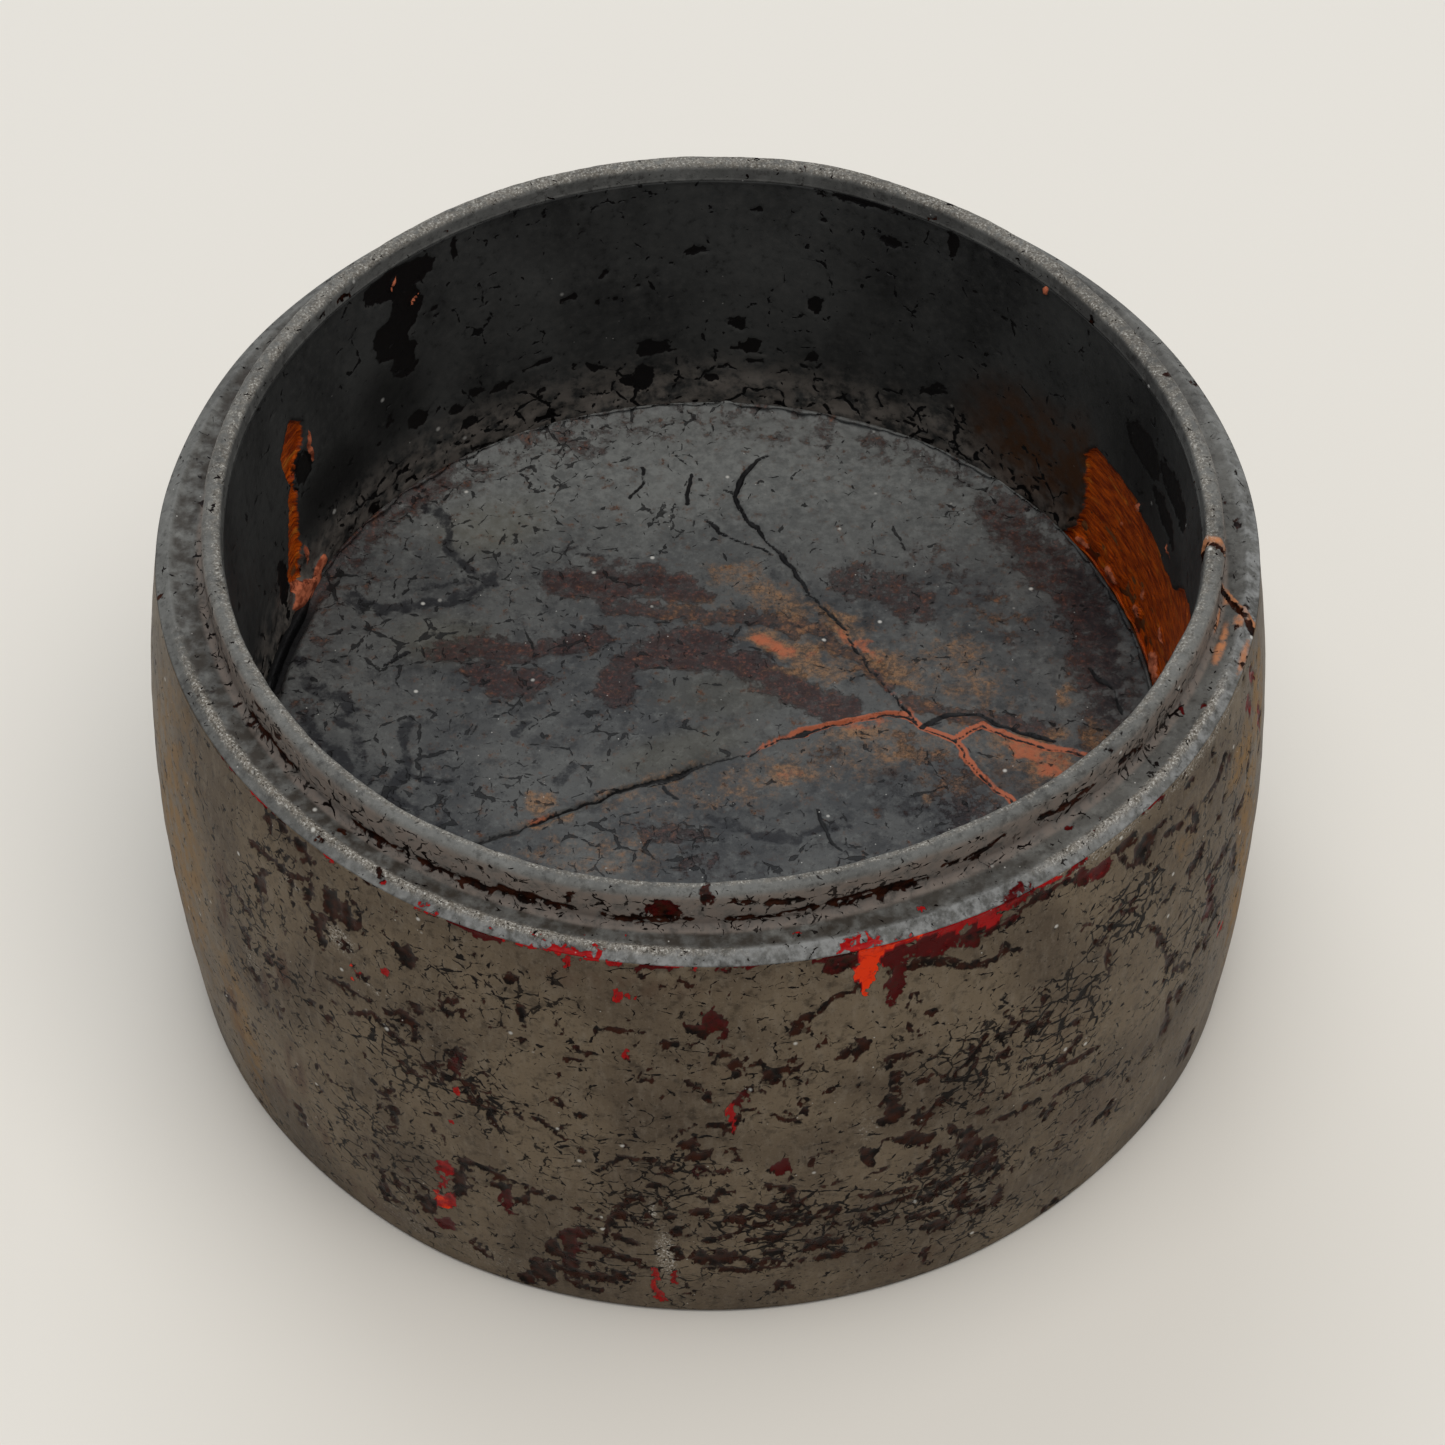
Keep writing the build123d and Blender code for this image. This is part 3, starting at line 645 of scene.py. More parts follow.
collarR, seatZ, topZ = bowl["collarRadius"], bowl["seatHeight"], bowl["collarTop"]
mouthR = bowl["mouthRadius"]
collarProfile = line((bowl["shoulderRadius"], bowl["shoulderHeight"]), (bowl["bevelRadius"], seatZ), some(10))
collarProfile += line((bowl["bevelRadius"], seatZ), (collarR + coveSize, seatZ), some(16))
collarProfile += arc((collarR + coveSize, seatZ + coveSize), coveSize, 270, 180, some(6))
collarProfile += line((collarR, seatZ + coveSize), (collarR, topZ - topRound), some(20))
collarProfile += arc((collarR - topRound, topZ - topRound), topRound, 0, 90, some(8))
collarProfile += line((collarR - topRound, topZ), (mouthR + topRound, topZ), some(5))
collarProfile += arc((mouthR + topRound, topZ - topRound), topRound, 90, 180, some(8))
collarProfile += line((mouthR, topZ - topRound), (innerRadiusAt(seam), seam), some(7))
collarProfile += [(innerRadiusAt(seam), seam, 0.0), (mouthR + 0.5, seam, 0.0)]
collarProfile += [(mouthR + 0.6, topZ - 0.6, 0.0), (collarR - 0.6, topZ - 0.6, 0.0)]
collarProfile += [(collarR - 0.6, seatZ - 0.9, 0.0), (bowl["bevelRadius"] - 0.3, seatZ - 0.9, 0.0)]
collarProfile += [(bowl["shoulderRadius"] - 0.9, bowl["shoulderHeight"] - 0.7, 0.0)]
collarCoat = gridMesh("collarCoat", collarProfile, aroundAngles(1000, 0.4), True, layCollar)
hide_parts("outer_black_lacquer", "inner_red_lacquer")
print("shoulder and collar:", len(collarCoat.data.polygons), "faces")


# lining

liningWear = {
    "coatDepth": 0.75,
    "unevenness": 0.18,
    # bare wood, its top edge: azimuth, height
    "bareTop": (
        (-50, 32), (-45, 37), (-41, 38), (-38, 46), (-33, 47), (-29, 55), (-24, 57), (-19, 64), (-12, 66),
        (-6, 64), (-1, 60), (4, 55), (8, 53.8), (18, 53.8), (20, 54.8), (27, 54), (31, 54.4),
    ),
    "bareSide": ((33, 36), (38, 33), (42, 31.5), (46, 32), (52, 32.6), (54.4, 31)),      # height, azimuth
    "stripLeft": (
        (38, 158.2), (43, 157.0), (50, 156.2), (53.6, 155.8), (54.4, 156.4), (55.2, 155.4), (57, 155),
        (59, 152.6), (62, 152.4), (64.6, 155),
    ),
    "stripRight": (
        (38, 161.2), (41, 161.8), (45, 160.6), (50, 159.0), (53.6, 158), (54.4, 157.0), (55.2, 157.6),
        (58, 158.2), (61, 158.6), (64.6, 155.4),
    ),
    # flaked dark: azimuth, height, half width, half height, turn, redness
    "flakes": (
        (132.5, 71.4, 5.0, 2.6, 0, 0), (136, 72, 2.4, 2.0, 0, 0), (132, 66, 2.6, 3.4, 0, 0),
        (134.5, 62, 3.2, 3.4, 0, 0), (133, 58, 2.4, 3.0, 0, 0), (124, 72, 0.5, 1.4, 0, 0),
        (91.5, 62.4, 1.6, 0.5, -20, 0), (108.5, 56.8, 1.4, 0.4, 0, 0), (104, 55, 1.0, 0.4, 0, 0),
        (59, 45, 1.6, 0.6, -15, 0), (53, 66, 0.9, 0.6, 0, 0), (76, 55, 0.7, 1.6, 10, 0),
        (76, 44.6, 0.5, 1.0, 0, 0), (98, 45.5, 2.6, 1.2, 0, 0), (99, 40, 1.6, 2.2, 0, 0),
        (101.6, 40, 1.2, 0.9, 0, 0), (126, 44.5, 1.0, 0.9, 0, 0), (124.5, 41, 0.9, 0.7, 0, 0),
        (113, 46.5, 2.2, 0.5, -5, 0), (119, 45, 1.2, 0.6, 0, 0), (122.6, 45.6, 1.4, 0.5, 0, 0),
        (132, 46, 1.6, 1.6, 0, 0), (70, 74, 5.0, 0.9, 0, 0), (58, 72, 0.6, 1.8, 0, 0),
        (84, 46, 1.4, 1.0, 0, 0), (86, 50, 1.4, 0.8, 0, 0), (154, 55, 1.8, 2.6, 0, 0),
        (163, 42, 1.6, 3.6, 0, 0), (20, 64, 5, 3, 0, 0), (10, 66, 6, 2, 0, 0), (12, 60, 5, 1.6, 0, 0),
        (107, 43.8, 1.6, 0.4, 15, 0), (66, 68, 1.6, 0.6, 0, 0),
    ),
    # dark shadowy stains: azimuth, height, half width, half height, turn, strength
    "darkened": (
        (136, 52, 8, 9, 0, 0.9), (148, 47, 12, 6, 0, 1.0), (68, 64, 10, 8, 0, 0.35),
        (12, 58, 20, 5, 0, 0.6), (18, 64, 16, 8, 0, 0.5), (100, 66, 16, 6, 0, 0.25),
    ),
    # brown glaze left round the bare wood
    "glazed": ((42, 45, 13, 10, 0, 1.0), (34, 46, 5, 12, 0, 1.0), (51.3, 41.8, 1.0, 1.6, 0, 1.0)),
    "clay": (
        (158, 35.5, 6.0, 2.4, 0, 1.0), (154.5, 36.5, 2.4, 1.6, 0, 1.0), (160, 38, 1.6, 2.0, 0, 1.0),
        (156.6, 41, 0.7, 3.4, 0, 0.8), (151.9, 57, 0.55, 3.8, 4, 1.0), (31, 35.5, 2.0, 0.9, 0, 1.0),
        (24, 35.8, 1.6, 1.3, 0, 1.0), (16, 37, 1.4, 1.4, 0, 0.9), (7, 36.5, 3.0, 2.4, 0, 0.9),
        (0, 36.5, 3.0, 2.4, 0, 0.9), (42.6, 73.6, 0.8, 0.9, 0, 1.0), (18.6, 54.2, 0.6, 1.6, 0, 0.7),
        (24, 46, 0.9, 0.9, 0, 0.5), (7.5, 42.8, 2.2, 0.6, 0, 0.6), (15.5, 41.5, 1.0, 2.0, -20, 0.6),
        (133.6, 71.4, 0.35, 1.6, 25, 0.9), (130.6, 66.6, 0.35, 1.3, 25, 0.9),
        (155.2, 50.6, 0.5, 0.25, 0, 0.6), (8, 57.5, 2.6, 0.5, 10, 0.5), (14, 58.6, 2.4, 0.4, 10, 0.5),
    ),
}


def layLining(theta, radius, height):
    p = pointsOf(theta, radius, height)
    azimuth = np.degrees(arcOffset(theta, 40)) + 40
    x = np.radians(azimuth) * liningRound
    wx = x + 0.5 * smoothNoise(p, 2.2, 131) + 0.4 * smoothNoise(p, 6.0, 132)
    wy = height + 0.35 * smoothNoise(p, 2.2, 133) + 0.3 * smoothNoise(p, 7.0, 134)
    edge, cell = flakeCells(p, 1.6, 136)
    wornAzimuth = np.degrees(wx / liningRound)
    topEdge = np.interp(wornAzimuth, *zip(*liningWear["bareTop"]), left=-9.0, right=54.4)
    sideEdge = np.interp(wy, *zip(*liningWear["bareSide"]))
    fromSide = np.radians(sideEdge - wornAzimuth) * liningRound
    bare = np.minimum(topEdge - wy, fromSide) + 0.35 * (cell - 0.5)
    left = np.interp(wy, *zip(*liningWear["stripLeft"]), left=165, right=170)
    right = np.interp(wy, *zip(*liningWear["stripRight"]), left=150, right=150)
    strip = np.radians(np.minimum(azimuth - left, right - azimuth)) * liningRound
    strip = np.where((height > 36.5) & (height < 64.8), strip, -5.0)
    bare = np.maximum(bare, strip)
    placed = ovalField(wx, wy, degreesRow(liningWear["flakes"], liningRound))[0]
    placed = placed + 0.7 * (cell - 0.5) + 0.4 * np.exp(-edge / 0.2) - 0.1
    low = 1 - ramp(height, 37.5, 46)
    flat = p * np.array([1, 1, 2.0])
    patches = fractalNoise(flat, 6.0, 170) * 0.4 + fractalNoise(flat, 2.2, 174, 2) * 0.6
    scattered = 1.5 * (patches - 0.88 + 0.36 * low)
    scattered = scattered + 0.7 * (cell - 0.5) + 0.35 * np.exp(-edge / 0.2) - 0.2
    flake = np.maximum(placed, scattered)
    clay = softField(wx, wy, degreesRow(liningWear["clay"], liningRound))
    clay = clay - 0.45 + 0.3 * smoothNoise(p, 1.3, 176)
    darkened = softField(x, height, degreesRow(liningWear["darkened"], liningRound))
    glazed = softField(x, height, degreesRow(liningWear["glazed"], liningRound))
    offset = liningWear["unevenness"] * (fractalNoise(p, 12.0, 180) - 1) * 0.6
    offset = offset - liningWear["coatDepth"] * ramp(bare, -0.1, 0.35)
    offset = offset + 0.5 * ramp(clay, 0, 0.35) + 0.07 * fractalNoise(flat, 1.8, 186, 2) * ramp(bare, 0, 0.4)
    offset = offset - 0.18 * ramp(flake, -0.05, 0.12) + low * (0.28 * fractalNoise(p, 3.2, 188, 2) - 0.1)
    clear = ramp(seam - height, 0.0, 0.7)
    return offset * clear, {"flake": flake, "bare": bare, "clay": clay, "darkened": darkened,
                            "glazed": glazed, "low": low}


liningRows = 112
floorR, floorZ = bowl["floorRadius"], bowl["floorHeight"]
liningProfile = line((innerRadiusAt(seam), seam), (innerRadiusAt(floorZ), floorZ), liningRows)
liningProfile += line((innerRadiusAt(floorZ), floorZ), (floorR, floorZ - 0.9), 4)
liningProfile += [(floorR + 0.9, floorZ - 0.9, 0.0)]
liningProfile += [(innerRadiusAt(h) + 1.4, h, 0.0) for h in (floorZ, 48.0, 61.0)]
liningProfile += [(innerRadiusAt(seam) + 0.9, seam, 0.0)]
liningAngles = aroundAngles(820, -0.35)
liningCoat = gridMesh("liningCoat", liningProfile, liningAngles, True, layLining)
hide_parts("inner_black_lacquer", "inner_red_lacquer", "inner_clay_ground")
print("lining:", len(liningCoat.data.polygons), "faces")


# floor

floorWear = {
    # points across the floor in mm, half width, depth, how orange its edges are at its start and end
    "cracks": (
        (((-31, -22), (-25, -19), (-19, -16), (-12, -13), (-6, -11), (0, -8), (5, -6), (10, -3.6),
          (16, -1), (21, 0.2), (25.6, 0.6)), 0.36, 0.9, -0.6, 1.3),
        (((8, 50), (4.6, 46), (3.5, 42), (5, 37.5), (8.5, 31.5), (12, 26), (15, 21),
          (18, 16.5)), 0.3, 0.7, -1.0, 0.2),
        (((18, 16.5), (20, 12.5), (23, 7), (25.6, 2), (27.5, -1)), 0.24, 0.45, 0.3, 0.7),
        (((25.6, 0.6), (29, -2.6), (32.5, -4.7), (36, -10), (38.5, -14),
          (40.6, -17.6)), 0.3, 0.5, 1.3, 0.9),
        (((32.5, -4.7), (34.6, -3), (36.4, -1.7), (41, -3.6), (45, -5), (50, -6.3)), 0.3, 0.5, 1.3, 1.1),
        (((-0.5, 37), (1.6, 34.6), (4.5, 32.5), (8, 30)), 0.26, 0.3, -1.0, -1.0),
        (((52, 9), (54, 4.6), (55.4, 1.6)), 0.3, 0.4, -1.0, -1.0),
        (((-44, 9.6), (-42.6, 11), (-41, 12)), 0.28, 0.3, -1.0, -1.0),
        (((-3, 46), (-3.6, 43), (-3, 40)), 0.24, 0.2, -1.0, -1.0),
        (((-10, 47), (-9.6, 44), (-11, 41)), 0.2, 0.2, -1.0, -1.0),
        (((28, -2), (32, 0.6), (36, 0), (41, -2), (46, -3.8)), 0.3, 0.3, -1.0, -0.4),
        (((14, -16), (16, -21), (17, -22.6)), 0.2, 0.2, -1.0, -1.0),
        (((-6, -12), (-4, -14)), 0.2, 0.2, -1.0, -1.0),
    ),
    # x, y, half length, half width, turn in degrees, strength
    "ochre": (
        (4, 26, 5.5, 3.2, -20, 0.55), (9, 21.5, 8.5, 3.4, -38, 0.75), (9.5, 13, 7.0, 2.3, -24, 1.15),
        (14.5, 9, 5, 2.4, -30, 0.85), (18, 16.6, 6.0, 1.9, -48, 0.95), (24, 9, 7, 2.0, -48, 1.0),
        (34, 11, 6, 4.2, -30, 0.6), (36, 6, 5, 2.4, -20, 0.6), (47.5, 4.4, 1.6, 3.2, 0, 0.75),
        (46.6, -2.6, 2.8, 1.5, 0, 0.7), (51.5, -3.4, 2.2, 3.2, 0, 0.8), (43, -5.4, 6.4, 2.4, -14, 1.1),
        (45, -9, 4.4, 3.4, 30, 1.05), (20, -3, 6.5, 2.2, 8, 0.85), (25, -6, 5, 2.8, 0, 0.7),
        (10.5, -9.6, 4.6, 2.6, 20, 0.95), (2, -14, 5, 1.0, 30, 0.75), (8, -10, 22, 4.6, 22, 0.4),
        (-22.4, -14.8, 2.8, 2.4, 0, 0.95), (-21, -17.6, 4, 1.4, 25, 0.9), (-8, -12, 10, 2.4, 22, 0.45),
        (-16, -24, 16, 5, 6, 0.35), (29, -14.5, 1.2, 1.4, 0, 1.1), (31, -12, 6, 3, 0, 0.35),
        (-2, 19, 9, 3, -8, 0.35), (12, 8, 4, 1.4, -20, 0.8), (38, 18, 7, 4, 10, 0.25),
        (22, -6, 17, 6, 10, 0.45), (16, 14, 15, 6, -36, 0.45), (32, 6, 13, 8, -30, 0.4),
        (42, -9, 10, 7, 20, 0.45),
    ),
    "bright": (
        (9, 13, 5.5, 1.4, -26, 1.0), (20, 14, 5, 1.0, -50, 0.9), (43, -6, 5, 1.8, -14, 0.9),
        (45, -9, 3.4, 2.4, 30, 0.9), (-21.6, -17.2, 2.4, 0.9, 20, 0.9), (11, -9.4, 3, 1.6, 20, 0.5),
        (20, -1.6, 5, 1.2, 10, 0.6),
    ),
    # strokes: points, half width, strength
    "maroon": (
        (((-20, 25), (-14, 24.6), (-8, 24.6), (-3, 23)), 3.0, 1.0),
        (((-14, 21), (-4, 18.6), (6, 18), (14, 15.6), (20, 11), (24, 6)), 1.6, 0.9),
        (((-37, 11.6), (-31, 13), (-26, 12), (-20, 13), (-15, 14.6)), 2.2, 0.95),
        (((-31, 8), (-27, 6.6), (-24, 6)), 2.8, 0.95),
        (((-13, 4), (-11, 9), (-6, 13.6), (0, 14)), 2.6, 1.0),
        (((-8, 12), (-2, 10.6), (4, 10), (9, 7), (13, 3.6), (17, 1.6)), 2.8, 1.1),
        (((27, 3), (33, 0.6), (40, -1), (46, -2.6)), 1.6, 0.9), (((20, 25), (25, 23), (28, 20)), 3.6, 0.7),
        (((-16, 28.6), (-8, 28)), 1.2, 0.6), (((40, 38), (45, 31), (49, 24), (52, 16), (52, 8)), 4.4, 0.85),
        (((52, 6), (53, 0), (51, -12)), 3.4, 0.6), (((40, 33), (44, 38)), 3.0, 0.6),
        (((-8, -19.6), (-2, -20.6)), 1.6, 0.7), (((-3, -25.6), (0, -24.6)), 1.2, 0.7),
        (((26, -4), (29, -8)), 2.4, 0.55), (((33, -12), (35, -18)), 4.4, 0.5),
        (((30, 30), (36, 24), (41, 16)), 4.0, 0.3),
        (((-57, 22), (-53, 30), (-46, 38), (-38, 46)), 4.4, 0.85), (((-18, 52), (-17, 50)), 1.4, 0.7),
        (((-28, 52), (-22, 55)), 3.0, 0.4), (((14, -7), (17, -6)), 1.2, 0.6),
    ),
    # soft dark craquelure: points, half width, strength
    "inky": (
        (((-39, 40), (-37, 36), (-36, 31), (-33, 27)), 0.9, 1.0),
        (((-30, 25), (-34, 22), (-40, 20.6), (-45, 19), (-49, 22)), 1.2, 1.0),
        (((-50, 4), (-48, 1.6), (-49, -1)), 1.3, 1.0), (((-50, -5), (-48.6, -9)), 1.2, 1.0),
        (((-40, 0), (-40, -8), (-42, -13), (-38, -16)), 0.9, 1.0), (((-56, 10), (-52, 4)), 1.2, 0.8),
        (((-38, 18), (-30, 17)), 0.6, 0.6), (((-28, 30), (-20, 31), (-14, 30)), 0.6, 0.6),
        (((-26, 41), (-24, 36)), 0.5, 0.5), (((-34, -11), (-40, -10), (-44, -14)), 0.8, 0.9),
        (((6, -20), (12, -21), (18, -19)), 0.9, 0.9), (((0, -17), (5, -19)), 0.9, 0.8),
        (((-40, 24), (-34, 25), (-30, 27)), 0.8, 0.8), (((-26, -3), (-24, -1)), 0.9, 1.0),
        (((-20, -11), (-18, -9)), 1.2, 0.8), (((-38, -20), (-34, -17)), 0.8, 0.8),
        (((-47, -2), (-46, -12)), 1.4, 0.7), (((-54, 0), (-52, -6)), 1.4, 0.9),
        (((24, -12), (30, -18), (36, -22)), 4.6, 0.6), (((38, -11), (42, -16)), 3.2, 0.6),
        (((-2, -24), (8, -29), (20, -29)), 5.0, 0.45), (((50, 26), (54, 16), (54, 2)), 2.6, 0.6),
    ),
    "olive": (
        (-30, 36, 9, 6, 20, 0.7), (-4, -6, 12, 4, 20, 0.4), (-36, 14, 8, 5, 0, 0.4), (2, 4, 10, 5, 0, 0.3),
    ),
    "unevenness": 0.3,
}


def strokeSoft(x, y, strokes):
    # strongest of a set of soft strokes
    field = np.zeros(x.shape)
    for path, halfWidth, strength in strokes:
        distance = pathDistance(x, y, path)[0]
        field = np.maximum(field, strength * (1 - ramp(distance / halfWidth, 0.45, 1.35)))
    return field


def layFloor(theta, radius, height):
    p = pointsOf(theta, radius, height)
    x, y = p[..., 0], p[..., 1]
    wx = x + 0.35 * smoothNoise(p, 1.8, 201) + 0.5 * smoothNoise(p, 5.0, 203)
    wy = y + 0.35 * smoothNoise(p, 1.8, 205) + 0.5 * smoothNoise(p, 5.0, 207)
    groove, lip, crack = np.zeros(x.shape), np.full(x.shape, -1.0), np.full(x.shape, 9.0)
    for path, halfWidth, depth, orangeStart, orangeEnd in floorWear["cracks"]:
        distance, along = pathDistance(wx, wy, path)
        width = halfWidth * (0.8 + 0.4 * smoothNoise(p, 4.0, 209))
        orange = orangeStart + (orangeEnd - orangeStart) * ramp(along, 0.35, 0.85)
        orange = orange + 0.35 * smoothNoise(p, 3.0, 211)
        groove = np.maximum(groove, depth * (1 - ramp(distance, 0.0, width * 2.2)))
        lip = np.maximum(lip, orange * (1 - ramp(distance, 0.3, 0.95)))
        crack = np.minimum(crack, distance - width * (1.0 - 0.55 * np.clip(orange, 0, 1)))
    pushed = p + np.stack([smoothNoise(p, 3.0, seed) for seed in (221, 222, 223)], -1)
    edge = flakeCells(pushed, 4.0, 224)[0]
    bx = x + 1.1 * smoothNoise(p, 3.6, 231) + 0.8 * smoothNoise(p, 1.4, 232)
    by = y + 0.8 * smoothNoise(p, 3.6, 233) + 0.6 * smoothNoise(p, 1.4, 234)
    ochre = softField(bx, by, floorWear["ochre"])
    bright = softField(bx, by, floorWear["bright"])
    maroon = strokeSoft(bx, by, floorWear["maroon"])
    ix = wx + 0.7 * smoothNoise(p, 1.6, 236)
    iy = wy + 0.7 * smoothNoise(p, 1.6, 237)
    inky = strokeSoft(ix, iy, floorWear["inky"])
    olive = softField(x, y, floorWear["olive"])
    rough = ramp(radius, 54.5, 58.0) * (1 - 0.7 * (np.abs(arcOffset(theta, -170)) < 0.6))
    # a groove at the floor's left edge, also painted black: painted shade in the corner where the floor meets
    # the wall
    leftGapAndShade = (1 - ramp(np.abs(arcOffset(theta, 168)), 0.1, 0.22)) * ramp(radius, 57.0, 58.4)
    offset = floorWear["unevenness"] * (fractalNoise(p, 18.0, 250) - 1) * 0.6
    offset = offset - groove + 0.22 * np.clip(lip, 0, 1) - 1.6 * leftGapAndShade
    offset = offset - 0.12 * np.exp(-edge / 0.35) * ramp(fractalNoise(p, 10.0, 254), -0.2, 0.5) - 0.14 * inky
    offset = offset - 0.14 * ramp(maroon, 0.4, 0.8) - 0.1 * ramp(ochre, 0.5, 0.8)
    offset = offset + 0.05 * fractalNoise(p, 1.6, 256, 2)
    offset = offset + rough * (0.4 * fractalNoise(p, 2.4, 258, 2) - 0.2)
    return offset, {"ochre": ochre, "bright": bright, "maroon": maroon, "inky": inky, "olive": olive,
                    "crack": crack, "lip": lip, "rim": ramp(radius, 49.0, 57.5), "gap": leftGapAndShade,
                    "pale": ramp(y, 22, 46), "crazed": 1 - ramp(x, -30, 10) + 0.4 * ramp(-y, 8, 20)}


floorRows = 130
floorProfile = [(r, floorZ - 1.0, 0.0) for r in (0.0, floorR - 1.0, floorR + 0.1)]
floorProfile += line((floorR + 0.1, floorZ - 0.4), (floorR + 0.1, floorZ + 0.9), 3, 0.0)
floorProfile += arc((floorR - 1.6, floorZ + 1.7), 1.7, 330, 270, some(8))
floorProfile += line((floorR - 1.6, floorZ), (0.02, floorZ), floorRows)
floorProfile += [(0.0, floorZ, 0.0)]
floorCoat = gridMesh("floorCoat", floorProfile, aroundAngles(660, 0.0), False, layFloor)
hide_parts("floor_black_lacquer", "floor_red_lacquer", "floor_clay_ground")
print("floor:", len(floorCoat.data.polygons), "faces")


# underside

def layPlain(theta, radius, height):
    p = pointsOf(theta, radius, height)
    return 0.12 * fractalNoise(p, 9.0, 300) - 0.05, {"flake": fractalNoise(p, 6.0, 310) - 1.0, "redness": 0.2,
                                                      "rubbed": 0.0, "dust": 0.0}


recessR = undersideBox[1][0] - 0.3
recessZ = undersideBox[1][2] - 0.3
undersideProfile = [(0.0, recessZ, 0.0)]
undersideProfile += line((0.02, recessZ), (recessR - 0.5, recessZ), some(60))
undersideProfile += line((recessR - 0.5, recessZ), (recessR, recessZ - 0.5), 3)
undersideProfile += line((recessR, recessZ - 0.5), (recessR, undersideBox[0][2]), some(50))
undersideProfile += [(recessR + 0.3, undersideBox[0][2], 0.0), (recessR + 0.3, recessZ + 0.3, 0.0)]
undersideProfile += [(0.0, recessZ + 0.3, 0.0)]
undersideAngles = aroundAngles(600, 0.0)
undersideCoat = gridMesh("undersideCoat", undersideProfile, undersideAngles, False, layPlain)
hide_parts("underside_black_lacquer")
print("underside:", len(undersideCoat.data.polygons), "faces")


# wooden core, carried along with the coats' waves

woodSurface = {
    "fibreRelief": 0.06,
    "jointGap": 0.05,
}


def layWood(theta, radius, height):
    p = pointsOf(theta, radius, height * 5)
    return woodSurface["fibreRelief"] * (fractalNoise(p, 6.0, 330) - 1), {"flake": 0.0}


def woodPiece(name, profile, node, loop=True):
    piece = gridMesh(name, profile, aroundAngles(300, 0.0), loop, layWood)
    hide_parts(node)
    return piece


woodPieces = []
gap = woodSurface["jointGap"]
ringRows = 14
linerFoot = 38.0        # where the liner's cone ends and it turns in under the floor's edge
ringInner = boardBox[1][0]
for number in range(1, ringCount + 1):
    node = "wall_ring_" + str(number)
    ringBox = boxInMm(node)
    low, high = ringBox[0][2], ringBox[1][2] - gap
    profile = wallArc(bowl["coatDepth"], low, high, ringRows)
    if number == ringCount:
        topWood = bowl["shoulderHeight"] - 1.25
        profile = wallArc(bowl["coatDepth"], low, topWood, ringRows)
        profile += [(bowl["shoulderRadius"] - bowl["coatDepth"], topWood, 1.0)]
        profile += [(bowl["bevelRadius"] - 0.4, high, 1.0)]
    else:
        profile += [(profile[-1][0], high, 0.0)]
    profile += [(ringInner + gap, high, 0.0), (ringInner + gap, low, 0.0)]
    woodPieces.append(woodPiece("wallRing" + str(number), profile, node))

linerBox = boxInMm("liner_hoop")
linerLow, linerTop = linerBox[0][2], linerBox[1][2]
atSeat, atFoot = innerRadiusAt(seatZ), innerRadiusAt(linerFoot)
inside = line((mouthR + 0.55, linerTop), (atSeat + 0.55, seatZ), 6)
inside += line((atSeat + 1.05, seatZ - 0.5), (atFoot + 1.05, linerFoot), 40)
linerProfile = [(ringInner, linerLow, 0.0), (ringInner, seatZ - 1.05, 0.0)]
linerProfile += [(collarR - 0.55, seatZ - 0.6, 0.0), (collarR - 0.55, linerTop, 0.0)]
linerProfile += inside + [(atFoot + 1.05, linerFoot, 0.0), (floorR + 1.05, linerLow, 0.0)]
woodPieces.append(woodPiece("linerHoop", linerProfile, "liner_hoop"))

boardLow, boardHigh = boardBox[0][2], boardBox[1][2] - gap
boardProfile = [(0.0, boardLow, 0.0), (ringInner, boardLow, 0.0), (ringInner, boardHigh, 0.0)]
boardProfile += line((ringInner - 0.4, boardHigh), (0.02, boardHigh), 30) + [(0.0, boardHigh, 0.0)]
woodPieces.append(woodPiece("floorBoard", boardProfile, "floor_board", False))

bearerTop = boardLow - gap
bearerProfile = [(ringInner, 0.0, 0.0)] + line((ringInner, 0.05), (ringInner, bearerTop), 12, 0.0)
bearerProfile += [(ringInner, bearerTop, 0.0), (recessR + 0.32, bearerTop, 0.0), (recessR + 0.32, 0.0, 0.0)]
woodPieces.append(woodPiece("bearerHoop", bearerProfile, "bearer_hoop"))
print("wooden pieces:", len(woodPieces))


# materials

def rgb(r, g, b):
    # a colour given as on screen, 0 to 255, turned into light amounts
    def one(v):
        v = v / 255
        return v / 12.92 if v <= 0.04045 else ((v + 0.055) / 1.055) ** 2.4
    return (one(r), one(g), one(b), 1.0)


